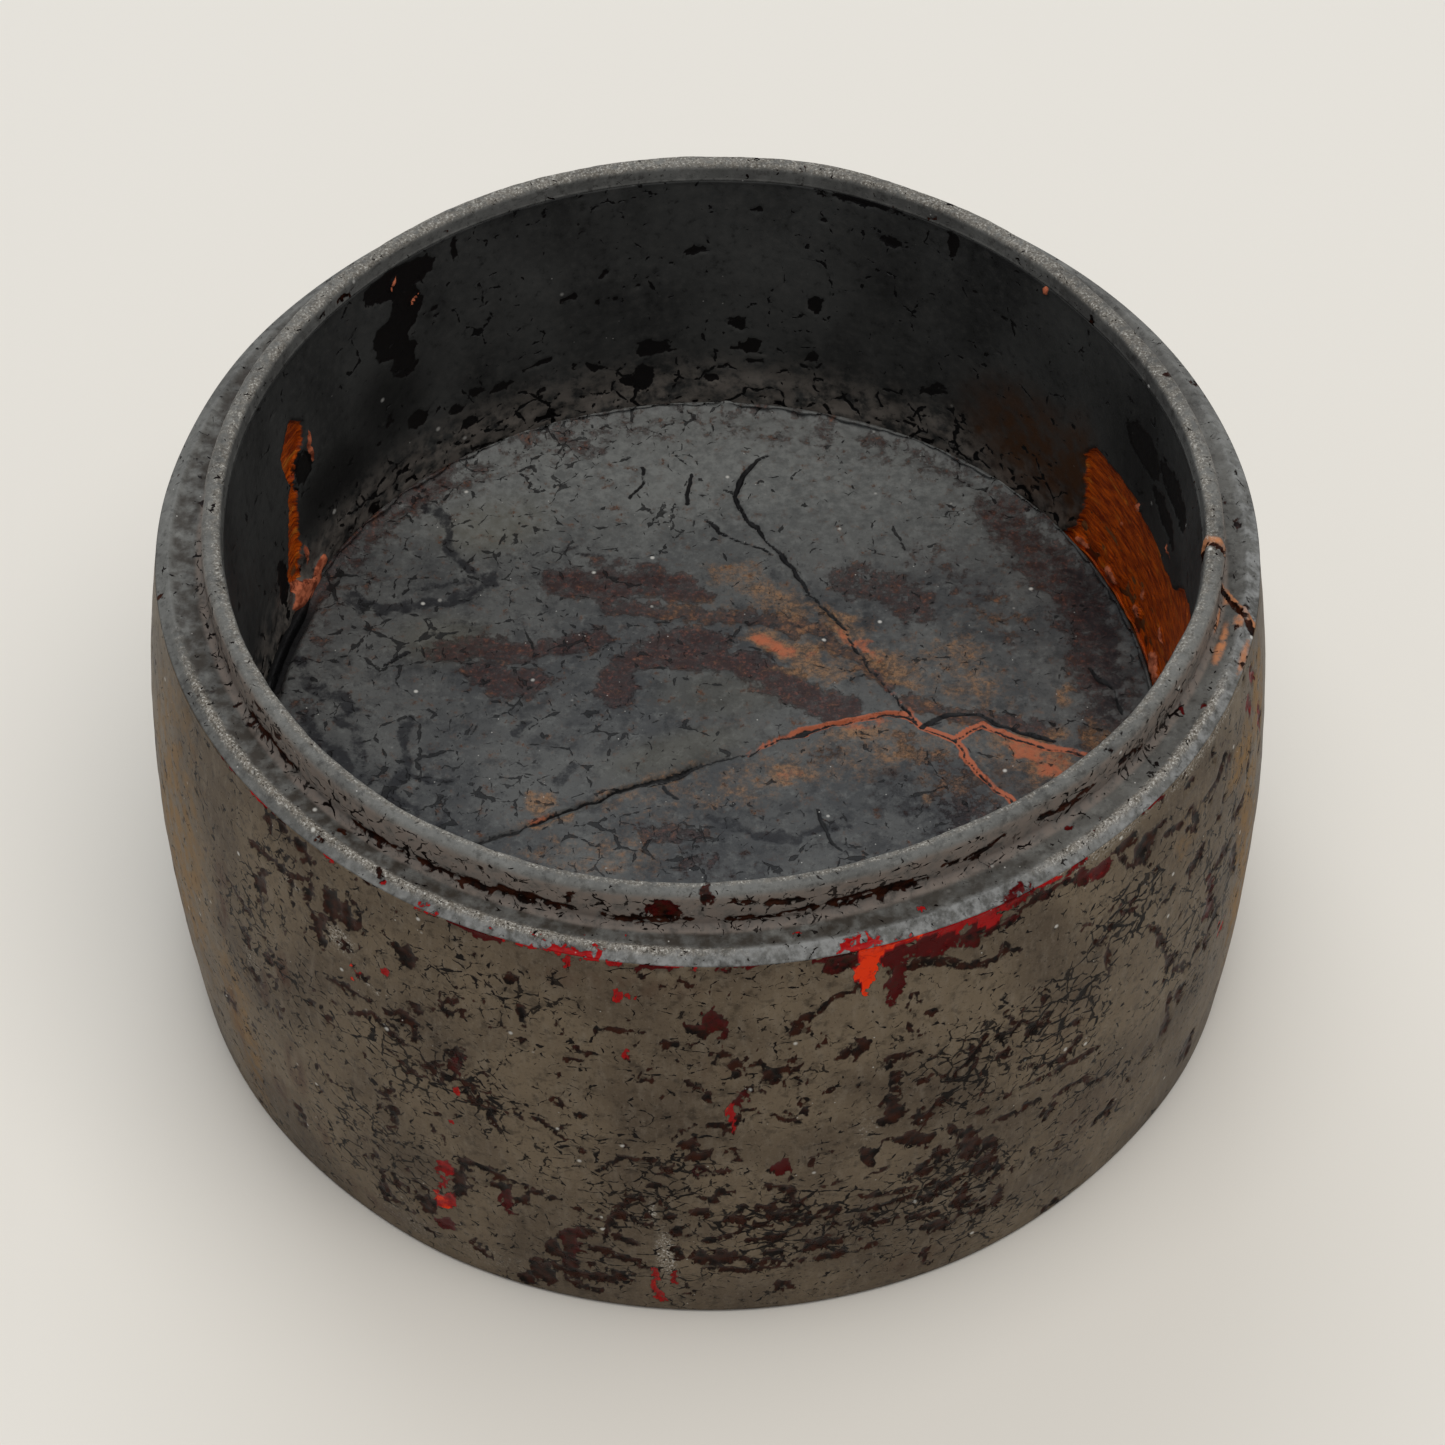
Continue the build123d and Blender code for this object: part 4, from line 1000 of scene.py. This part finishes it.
class Nodes:
    # short ways of adding nodes to one material

    def __init__(self, name):
        self.material = bpy.data.materials.new(name)
        self.material.use_nodes = True
        self.tree = self.material.node_tree
        self.tree.nodes.clear()

    def add(self, kind, inputs=None, **settings):
        made = self.tree.nodes.new(kind)
        for key, value in settings.items():
            setattr(made, key, value)
        for key, value in (inputs or {}).items():
            self.put(made.inputs[key], value)
        return made

    def put(self, socket, value):
        if isinstance(value, bpy.types.NodeSocket):
            self.tree.links.new(value, socket)
        else:
            socket.default_value = value

    def math(self, operation, a, b=0.0, clamp=False):
        return self.add("ShaderNodeMath", {0: a, 1: b}, operation=operation, use_clamp=clamp).outputs[0]

    def plus(self, a, b):
        return self.math("ADD", a, b)

    def minus(self, a, b):
        return self.math("SUBTRACT", a, b)

    def times(self, a, b):
        return self.math("MULTIPLY", a, b)

    def larger(self, a, b):
        return self.math("MAXIMUM", a, b)

    def centred(self, noise, amount):
        # noise about nought, from minus to plus half the amount
        return self.times(self.minus(noise, 0.5), amount)

    def mapped(self, value, low, high, fromValue=0.0, toValue=1.0):
        ends = {"Value": value, "From Min": low, "From Max": high, "To Min": fromValue, "To Max": toValue}
        return self.add("ShaderNodeMapRange", ends, interpolation_type="SMOOTHSTEP").outputs["Result"]

    def mix(self, factor, a, b, blend="MIX"):
        made = self.add("ShaderNodeMix", data_type="RGBA", blend_type=blend)
        self.put(made.inputs[0], factor)
        self.put(made.inputs[6], a)
        self.put(made.inputs[7], b)
        return made.outputs[2]

    def mark(self, name):
        return self.add("ShaderNodeAttribute", attribute_name=name).outputs["Fac"]

    def place(self, stretch=(1, 1, 1)):
        coords = self.add("ShaderNodeTexCoord").outputs["Object"]
        scale = tuple(k / mm for k in stretch)
        return self.add("ShaderNodeVectorMath", {0: coords, 1: scale}, operation="MULTIPLY").outputs[0]

    def unrolled(self, stretch=(1, 1, 1)):
        coords = self.add("ShaderNodeUVMap", uv_map="unrolled").outputs[0]
        scale = tuple(k / mm for k in stretch)
        return self.add("ShaderNodeVectorMath", {0: coords, 1: scale}, operation="MULTIPLY").outputs[0]

    def noise(self, vector, size, detail=3.0, rough=0.55, colour=False):
        inputs = {"Vector": vector, "Scale": 1 / size, "Detail": detail, "Roughness": rough}
        made = self.add("ShaderNodeTexNoise", inputs)
        return made.outputs["Color" if colour else "Fac"]

    def shifted(self, vector, size, amount):
        # the place, pushed about by noise of a given size
        push = self.noise(vector, size, 2.0, colour=True)
        push = self.add("ShaderNodeVectorMath", {0: push, 1: (0.5, 0.5, 0.5)}, operation="SUBTRACT")
        push = self.add("ShaderNodeVectorMath", {0: push.outputs[0], "Scale": amount}, operation="SCALE")
        return self.add("ShaderNodeVectorMath", {0: vector, 1: push.outputs[0]}, operation="ADD").outputs[0]

    def cracks(self, vector, size, width, share):
        # lines between cells, 1 on a line and 0 off it, thinning out to nothing where the share falls to 0
        inputs = {"Vector": vector, "Scale": 1 / size}
        cells = self.add("ShaderNodeTexVoronoi", inputs, feature="DISTANCE_TO_EDGE")
        reach = self.larger(self.times(share, width / size), 0.0001)
        return self.mapped(self.math("DIVIDE", cells.outputs["Distance"], reach), 0.55, 1.1, 1.0, 0.0)

    def patchy(self, vector, large, small, low, high):
        # from 0 to 1, made of noise at two sizes
        both = self.times(self.noise(vector, small), 0.6)
        both = self.plus(both, self.times(self.noise(vector, large), 0.4))
        return self.mapped(both, low, high)

    def specks(self, vector, size, share):
        # small dots, one in a share of the cells
        cells = self.add("ShaderNodeTexVoronoi", {"Vector": vector, "Scale": 1 / size, "Randomness": 1.0})
        dot = self.mapped(cells.outputs["Distance"], 0.05, 0.16, 1.0, 0.0)
        chosen = self.add("ShaderNodeSeparateColor", {0: cells.outputs["Color"]}).outputs[0]
        return self.times(dot, self.mapped(chosen, 1 - share, 1 - share + 0.02))

    def finish(self, colour, roughness, height, depth, specular=0.5):
        bump = self.add("ShaderNodeBump", {"Height": height, "Distance": depth * mm, "Strength": 1.0})
        inputs = {"Base Color": colour, "Roughness": roughness, "Specular IOR Level": specular,
                  "Normal": bump.outputs[0]}
        shader = self.add("ShaderNodeBsdfPrincipled", inputs)
        self.tree.links.new(shader.outputs[0], self.add("ShaderNodeOutputMaterial").inputs["Surface"])
        return self.material


outsideLook = {
    "dark": rgb(81, 69, 56), "light": rgb(109, 95, 77), "crack": rgb(10, 3, 1), "grey": rgb(134, 124, 110),
    "under": rgb(50, 20, 7), "darkRed": rgb(70, 5, 5), "red": rgb(150, 14, 15), "orange": rgb(222, 52, 8),
    # pale is the colour of the painted cold sheen on the shoulder's bevel
    "tan": rgb(150, 114, 68), "warm": rgb(122, 110, 101), "pale": rgb(146, 146, 144),
    "smear": rgb(60, 26, 12), "dust": rgb(140, 130, 116), "speck": rgb(205, 202, 194),
    "crackSize": 4.6, "crackWidth": 0.4, "fineCrackSize": 2.2, "fineCrackWidth": 0.22,
    "roughness": 0.46, "stretch": 1.7,
}


def lacquerMaterial(name, look):
    n = Nodes(name)
    place = n.place()
    bent = n.shifted(place, 2.4, 1.3)
    flat = n.shifted(n.place((1, 1, look["stretch"])), 3.0, 1.8)
    tone = n.mapped(n.noise(place, 15.0, 4.0), 0.3, 0.7)
    mottle = n.noise(place, 1.4, 6.0, 0.6)
    grain = n.noise(place, 0.45, 4.0, 0.7)
    brushed = n.noise(n.place((1, 1, 0.35)), 1.2, 4.0, 0.6)
    colour = n.mix(tone, look["dark"], look["light"])
    colour = n.mix(n.mapped(brushed, 0.45, 0.8, 0.0, 0.3), colour, look["grey"])
    colour = n.mix(n.mapped(mottle, 0.5, 0.3, 0.0, 0.45), colour, look["crack"])
    colour = n.mix(n.mapped(grain, 0.44, 0.3, 0.0, 0.4), colour, look["crack"])
    colour = n.mix(n.mapped(grain, 0.56, 0.72, 0.0, 0.3), colour, look["grey"])
    # crackle that thins out and starts again, closer where the lacquer is crazed
    crazed = n.mark("crazed")
    share = n.mapped(n.plus(n.patchy(place, 5.0, 1.2, 0.0, 1.0), n.times(crazed, 0.2)), 0.54, 0.82)
    wide = n.cracks(flat, look["crackSize"], look["crackWidth"], share)
    share = n.mapped(n.plus(n.patchy(bent, 7.0, 0.9, 0.0, 1.0), n.times(crazed, 0.2)), 0.54, 0.82)
    fine = n.cracks(bent, look["fineCrackSize"], look["fineCrackWidth"], share)
    crack = n.larger(wide, n.times(fine, 0.9))
    # brown smears on the wall, and on the shoulder's seat the painted shade by the collar's foot
    streaks = n.mapped(n.noise(n.place((1, 1, 0.5)), 2.0, 4.0), 0.3, 0.65, 0.0, 0.85)
    colour = n.mix(n.times(n.mark("smeared"), streaks), colour, look["smear"])
    # rubbed and scuffed places; the tan at the wall's left and right edges is a painted warm reflection
    colour = n.mix(n.times(n.mark("warm"), n.mapped(mottle, 0.3, 0.6, 0.3, 0.9)), colour, look["warm"])
    # the pale mark is a painted cold sheen on the shoulder's bevel
    colour = n.mix(n.times(n.mark("pale"), n.mapped(brushed, 0.35, 0.65, 0.0, 0.62)), colour, look["pale"])
    blotch = n.plus(n.noise(place, 3.0, 5.0, 0.65), n.times(grain, 0.3))
    blotch = n.plus(blotch, n.times(n.mark("rubbed"), 0.22))
    rubbed = n.times(n.mark("rubbed"), n.mapped(blotch, 0.64, 0.88))
    colour = n.mix(n.times(rubbed, 0.85), colour, look["tan"])
    blotch = n.plus(n.noise(place, 1.2, 4.0, 0.7), n.times(n.mark("dust"), 0.3))
    dust = n.times(n.mark("dust"), n.mapped(blotch, 0.45, 0.8))
    colour = n.mix(n.times(dust, 0.55), colour, look["dust"])
    salt = n.noise(place, 0.34, 3.0, 0.8)
    colour = n.mix(n.times(dust, n.mapped(salt, 0.52, 0.66)), colour, look["speck"])
    colour = n.mix(n.times(dust, n.mapped(salt, 0.46, 0.36)), colour, look["crack"])
    colour = n.mix(crack, colour, look["crack"])
    # where the black has flaked off, the red under it and the brown under that
    arms = n.times(n.cracks(bent, 1.5, 0.3, 1.0), 0.34)
    ragged = n.plus(n.mark("flake"), n.centred(n.noise(place, 0.7, 4.0, 0.65), 0.9))
    ragged = n.plus(ragged, n.minus(arms, 0.08))
    gone = n.mapped(ragged, -0.02, 0.06)
    redness = n.plus(n.mark("redness"), n.centred(n.noise(place, 1.1, 4.0, 0.6), 0.7))
    under = n.mix(n.mapped(n.noise(place, 1.6, 4.0), 0.35, 0.65), look["crack"], look["under"])
    under = n.mix(n.mapped(redness, 0.14, 0.4), under, look["darkRed"])
    under = n.mix(n.mapped(redness, 0.5, 0.85), under, look["red"])
    under = n.mix(n.mapped(redness, 0.93, 1.12), under, look["orange"])
    colour = n.mix(gone, colour, under)
    rim = n.times(n.mapped(ragged, -0.16, -0.03), n.minus(1.0, gone))
    colour = n.mix(n.times(rim, 0.55), colour, look["crack"])
    specks = n.larger(n.specks(place, 2.6, 0.1), n.times(n.specks(place, 0.9, 0.035), 0.8))
    colour = n.mix(n.times(specks, 0.75), colour, look["speck"])
    rough = n.plus(look["roughness"], n.centred(mottle, 0.3))
    rough = n.minus(rough, n.times(gone, 0.1))
    rough = n.plus(rough, n.times(n.larger(rubbed, dust), 0.3))
    height = n.minus(n.times(mottle, 0.25), n.times(crack, 0.9))
    height = n.plus(height, n.times(dust, 0.25))
    return n.finish(colour, rough, height, 0.2, 0.07)


insideLook = dict(outsideLook)
insideLook.update({
    "dark": rgb(37, 37, 36), "light": rgb(60, 60, 58), "crack": rgb(5, 4, 4), "grey": rgb(80, 78, 74),
    "under": rgb(12, 7, 6), "wood": rgb(206, 88, 6), "woodDark": rgb(116, 34, 1), "woodPale": rgb(212, 130, 44),
    "glaze": rgb(66, 38, 14), "clay": rgb(200, 112, 78), "clayDark": rgb(120, 56, 34), "ashy": rgb(104, 97, 90),
})


def liningMaterial(name, look):
    n = Nodes(name)
    place = n.place()
    bent = n.shifted(place, 3.0, 2.2)
    tone = n.mapped(n.noise(n.place((1, 1, 0.6)), 14.0, 4.0), 0.3, 0.7)
    mottle = n.noise(place, 1.3, 6.0, 0.62)
    low = n.mark("low")
    colour = n.mix(tone, look["dark"], look["light"])
    colour = n.mix(n.mapped(mottle, 0.45, 0.75, 0.0, 0.3), colour, look["grey"])
    ash = n.mapped(n.noise(place, 2.6, 5.0, 0.65), 0.34, 0.6, 0.0, 0.85)
    colour = n.mix(n.times(low, ash), colour, look["ashy"])
    colour = n.mix(n.mapped(mottle, 0.46, 0.25, 0.0, 0.6), colour, look["crack"])
    colour = n.mix(n.times(n.mark("darkened"), 0.75), colour, look["crack"])
    glaze = n.mapped(n.noise(place, 2.4, 4.0), 0.3, 0.6, 0.3, 0.9)
    colour = n.mix(n.times(n.mark("glazed"), glaze), colour, look["glaze"])
    share = n.mapped(n.plus(n.patchy(place, 7.0, 1.5, 0.0, 1.0), n.times(low, 0.12)), 0.57, 0.72)
    crack = n.cracks(bent, 4.4, 0.3, share)
    colour = n.mix(crack, colour, look["crack"])
    ragged = n.plus(n.mark("flake"), n.centred(n.noise(place, 0.7, 4.0, 0.6), 0.6))
    gone = n.mapped(ragged, -0.03, 0.08)
    colour = n.mix(gone, colour, n.mix(n.noise(place, 1.4, 4.0), look["crack"], look["under"]))
    # bare wood, its fibres running round the bowl
    bare = n.plus(n.mark("bare"), n.centred(n.noise(place, 1.2, 4.0, 0.6), 1.2))
    strand = n.noise(n.place((1, 1, 7)), 3.0, 6.0, 0.7)
    wood = n.mix(n.mapped(strand, 0.36, 0.66), look["woodDark"], look["wood"])
    bands = n.noise(n.place((1, 1, 3)), 5.0, 4.0)
    wood = n.mix(n.mapped(bands, 0.56, 0.75, 0.0, 0.7), wood, look["woodPale"])
    isBare = n.mapped(bare, -0.05, 0.25)
    colour = n.mix(isBare, colour, wood)
    clayMark = n.plus(n.mark("clay"), n.centred(n.noise(place, 0.9, 5.0, 0.7), 0.5))
    clay = n.mapped(clayMark, 0.02, 0.16)
    clayColour = n.mix(n.mapped(n.noise(place, 1.4, 5.0), 0.36, 0.6), look["clayDark"], look["clay"])
    colour = n.mix(clay, colour, clayColour)
    specks = n.larger(n.specks(place, 3.4, 0.08), n.times(n.specks(place, 0.9, 0.02), 0.7))
    colour = n.mix(n.times(specks, 0.6), colour, look["speck"])
    rough = n.plus(0.5, n.centred(mottle, 0.3))
    rough = n.minus(rough, n.times(isBare, 0.12))
    rough = n.plus(rough, n.times(clay, 0.3))
    height = n.minus(n.times(mottle, 0.35), n.times(crack, 0.8))
    height = n.plus(height, n.times(n.times(strand, isBare), 0.8))
    return n.finish(colour, rough, height, 0.18, 0.22)


floorLook = dict(outsideLook)
floorLook.update({
    "dark": rgb(54, 55, 56), "light": rgb(82, 82, 80), "crack": rgb(9, 8, 9), "grey": rgb(116, 117, 114),
    "olive": rgb(92, 86, 66), "maroon": rgb(42, 24, 22), "maroonLight": rgb(100, 56, 45),
    "ochre": rgb(142, 104, 70), "ochreDark": rgb(84, 66, 50), "orange": rgb(168, 90, 58),
    "ink": rgb(22, 22, 26),
})


def floorMaterial(name, look):
    n = Nodes(name)
    place = n.place()
    bent = n.shifted(place, 3.0, 1.6)
    tone = n.mapped(n.noise(place, 13.0, 5.0), 0.3, 0.7)
    mottle = n.noise(place, 1.3, 6.0, 0.68)
    fine = n.noise(place, 0.6, 5.0, 0.75)
    colour = n.mix(tone, look["dark"], look["light"])
    colour = n.mix(n.mapped(mottle, 0.46, 0.78, 0.0, 0.45), colour, look["grey"])
    colour = n.mix(n.mapped(fine, 0.48, 0.28, 0.0, 0.6), colour, look["crack"])
    dirt = n.noise(place, 3.4, 7.0, 0.7)
    colour = n.mix(n.mapped(dirt, 0.5, 0.36, 0.0, 0.5), colour, look["ink"])
    colour = n.mix(n.times(n.mark("olive"), 0.6), colour, look["olive"])
    left = n.times(n.mark("crazed"), 0.06)
    crack = n.cracks(bent, 5.0, 0.36, n.mapped(n.plus(n.patchy(place, 9.0, 1.8, 0.0, 1.0), left), 0.56, 0.78))
    hair = n.cracks(bent, 2.6, 0.2, n.mapped(n.plus(n.patchy(bent, 8.0, 1.2, 0.0, 1.0), left), 0.6, 0.8))
    crack = n.larger(n.times(crack, 0.85), n.times(hair, 0.75))
    colour = n.mix(n.times(n.mark("pale"), n.mapped(mottle, 0.3, 0.7, 0.4, 0.9)), colour, look["grey"])
    speckled = n.centred(n.noise(place, 1.9, 7.0, 0.74), 3.6)
    atWall = n.times(n.mark("rim"), n.mapped(n.noise(place, 4.0, 4.0), 0.35, 0.7, 0.1, 1.0))
    maroonMark = n.plus(n.larger(n.mark("maroon"), n.times(atWall, 0.75)), speckled)
    maroonColour = n.mix(n.mapped(fine, 0.5, 0.7), look["maroon"], look["maroonLight"])
    colour = n.mix(n.mapped(maroonMark, 0.1, 1.2, 0.0, 0.92), colour, maroonColour)
    ochreMark = n.plus(n.mark("ochre"), n.times(speckled, 0.8))
    ochreColour = n.mix(n.mapped(fine, 0.4, 0.62), look["ochreDark"], look["ochre"])
    colour = n.mix(n.mapped(ochreMark, 0.1, 1.1, 0.0, 0.8), colour, ochreColour)
    brightMark = n.plus(n.mark("bright"), n.times(speckled, 0.8))
    colour = n.mix(n.mapped(brightMark, 0.3, 1.2, 0.0, 0.85), colour, look["orange"])
    inkMark = n.plus(n.mark("inky"), n.times(speckled, 0.8))
    colour = n.mix(n.mapped(inkMark, 0.3, 1.0, 0.0, 0.85), colour, look["ink"])
    colour = n.mix(crack, colour, look["crack"])
    lip = n.plus(n.mark("lip"), n.centred(n.noise(place, 1.6, 6.0, 0.7), 1.8))
    colour = n.mix(n.mapped(lip, 0.45, 1.0, 0.0, 0.9), colour, look["orange"])
    split = n.plus(n.mark("crack"), n.centred(n.noise(place, 0.8, 3.0), 0.4))
    colour = n.mix(n.mapped(split, 0.14, 0.0), colour, look["crack"])
    # the groove at the floor's left edge painted black, painted shade in that corner
    colour = n.mix(n.mark("gap"), colour, look["crack"])
    specks = n.larger(n.specks(place, 2.6, 0.14), n.times(n.specks(place, 0.8, 0.05), 0.8))
    colour = n.mix(n.times(specks, 0.75), colour, look["speck"])
    rough = n.plus(0.6, n.centred(mottle, 0.3))
    height = n.minus(n.times(mottle, 0.4), crack)
    height = n.minus(height, n.times(n.mapped(maroonMark, 0.42, 0.75), 0.3))
    return n.finish(colour, rough, height, 0.2, 0.25)


woodLook = {"light": rgb(146, 92, 48), "dark": rgb(82, 44, 22), "roughness": 0.6}


def woodMaterial(name, look):
    n = Nodes(name)
    fibres = n.unrolled((0.09, 1, 1))
    strand = n.noise(fibres, 0.7, 6.0, 0.7)
    rings = n.noise(fibres, 3.0, 3.0)
    colour = n.mix(n.mapped(strand, 0.34, 0.66), look["dark"], look["light"])
    colour = n.mix(n.mapped(rings, 0.4, 0.6, 0.0, 0.5), colour, look["dark"])
    return n.finish(colour, look["roughness"], strand, 0.12, 0.3)


outsideMaterial = lacquerMaterial("outside lacquer", outsideLook)
# the shoulder and collar lacquer: the wall's coat given paler, colder greys, a painted cold sheen of sky light
# on the ledge
sheenedShoulderLook = dict(outsideLook)
sheenedShoulderLook.update({
    "dark": rgb(80, 79, 76), "light": rgb(106, 105, 101), "grey": rgb(136, 134, 128), "tan": rgb(182, 120, 80),
    # smear here is the colour of the painted shade on the seat by the collar's foot
    "smear": rgb(46, 39, 32), "crackSize": 4.0, "crackWidth": 0.4, "stretch": 2.2,
})
coats = {
    wallCoat: outsideMaterial,
    collarCoat: lacquerMaterial("collar lacquer", sheenedShoulderLook),
    liningCoat: liningMaterial("lining lacquer", insideLook),
    floorCoat: floorMaterial("floor lacquer", floorLook),
    undersideCoat: lacquerMaterial("underside lacquer", outsideLook),
}
for piece, material in coats.items():
    piece.data.materials.append(material)
bareWood = woodMaterial("bare wood", woodLook)
for piece in woodPieces:
    piece.data.materials.append(bareWood)
for piece in [*coats, *woodPieces]:
    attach(piece, "root")
print("materials done")


# floor, light and camera

studio = {
    "floorColour": rgb(226, 220, 210),
    "worldColour": (0.88, 0.93, 1.0, 1.0),
    "worldStrength": 0.42,
    # name, place, size, power, colour
    "lights": (
        ("above", (0.15, -0.25, 1.6), 1.3, 17.0, (1.0, 0.98, 0.95)),
        ("behind", (-0.3, 1.3, 1.2), 1.1, 9.0, (0.84, 0.92, 1.0)),
    ),
    "cameraPlace": (0.001764, -0.375788, 0.462609),
    "cameraDown": 48.79,
    "cameraLens": 106.78,
}

bpy.context.scene.view_settings.view_transform = "Standard"
ground = bpy.data.meshes.new("ground")
under = -0.02 * mm                    # just clear of the foot
ground.from_pydata([(-4, -4, under), (4, -4, under), (4, 4, under), (-4, 4, under)], [], [(0, 1, 2, 3)])
groundPiece = bpy.data.objects.new("ground", ground)
bpy.context.scene.collection.objects.link(groundPiece)
groundNodes = Nodes("ground")
ground.materials.append(groundNodes.finish(studio["floorColour"], 0.8, 0.0, 0.1, 0.2))

world = bpy.data.worlds.new("studio")
bpy.context.scene.world = world
world.use_nodes = True
background = world.node_tree.nodes["Background"]
background.inputs["Color"].default_value = studio["worldColour"]
background.inputs["Strength"].default_value = studio["worldStrength"]

for name, place, size, power, colour in studio["lights"]:
    lamp = bpy.data.lights.new(name, "AREA")
    lamp.size = size
    lamp.energy = power
    lamp.color = colour
    holder = bpy.data.objects.new(name, lamp)
    holder.location = place
    holder.rotation_euler = (Vector((0, 0, 0.04)) - Vector(place)).to_track_quat("-Z", "Y").to_euler()
    bpy.context.scene.collection.objects.link(holder)

camera = bpy.data.cameras.new("camera")
camera.lens = studio["cameraLens"]
camera.sensor_width = 36
cameraHolder = bpy.data.objects.new("camera", camera)
cameraHolder.location = studio["cameraPlace"]
cameraHolder.rotation_euler = (math.radians(90 - studio["cameraDown"]), 0, 0)
bpy.context.scene.collection.objects.link(cameraHolder)
bpy.context.scene.camera = cameraHolder
print("studio done")
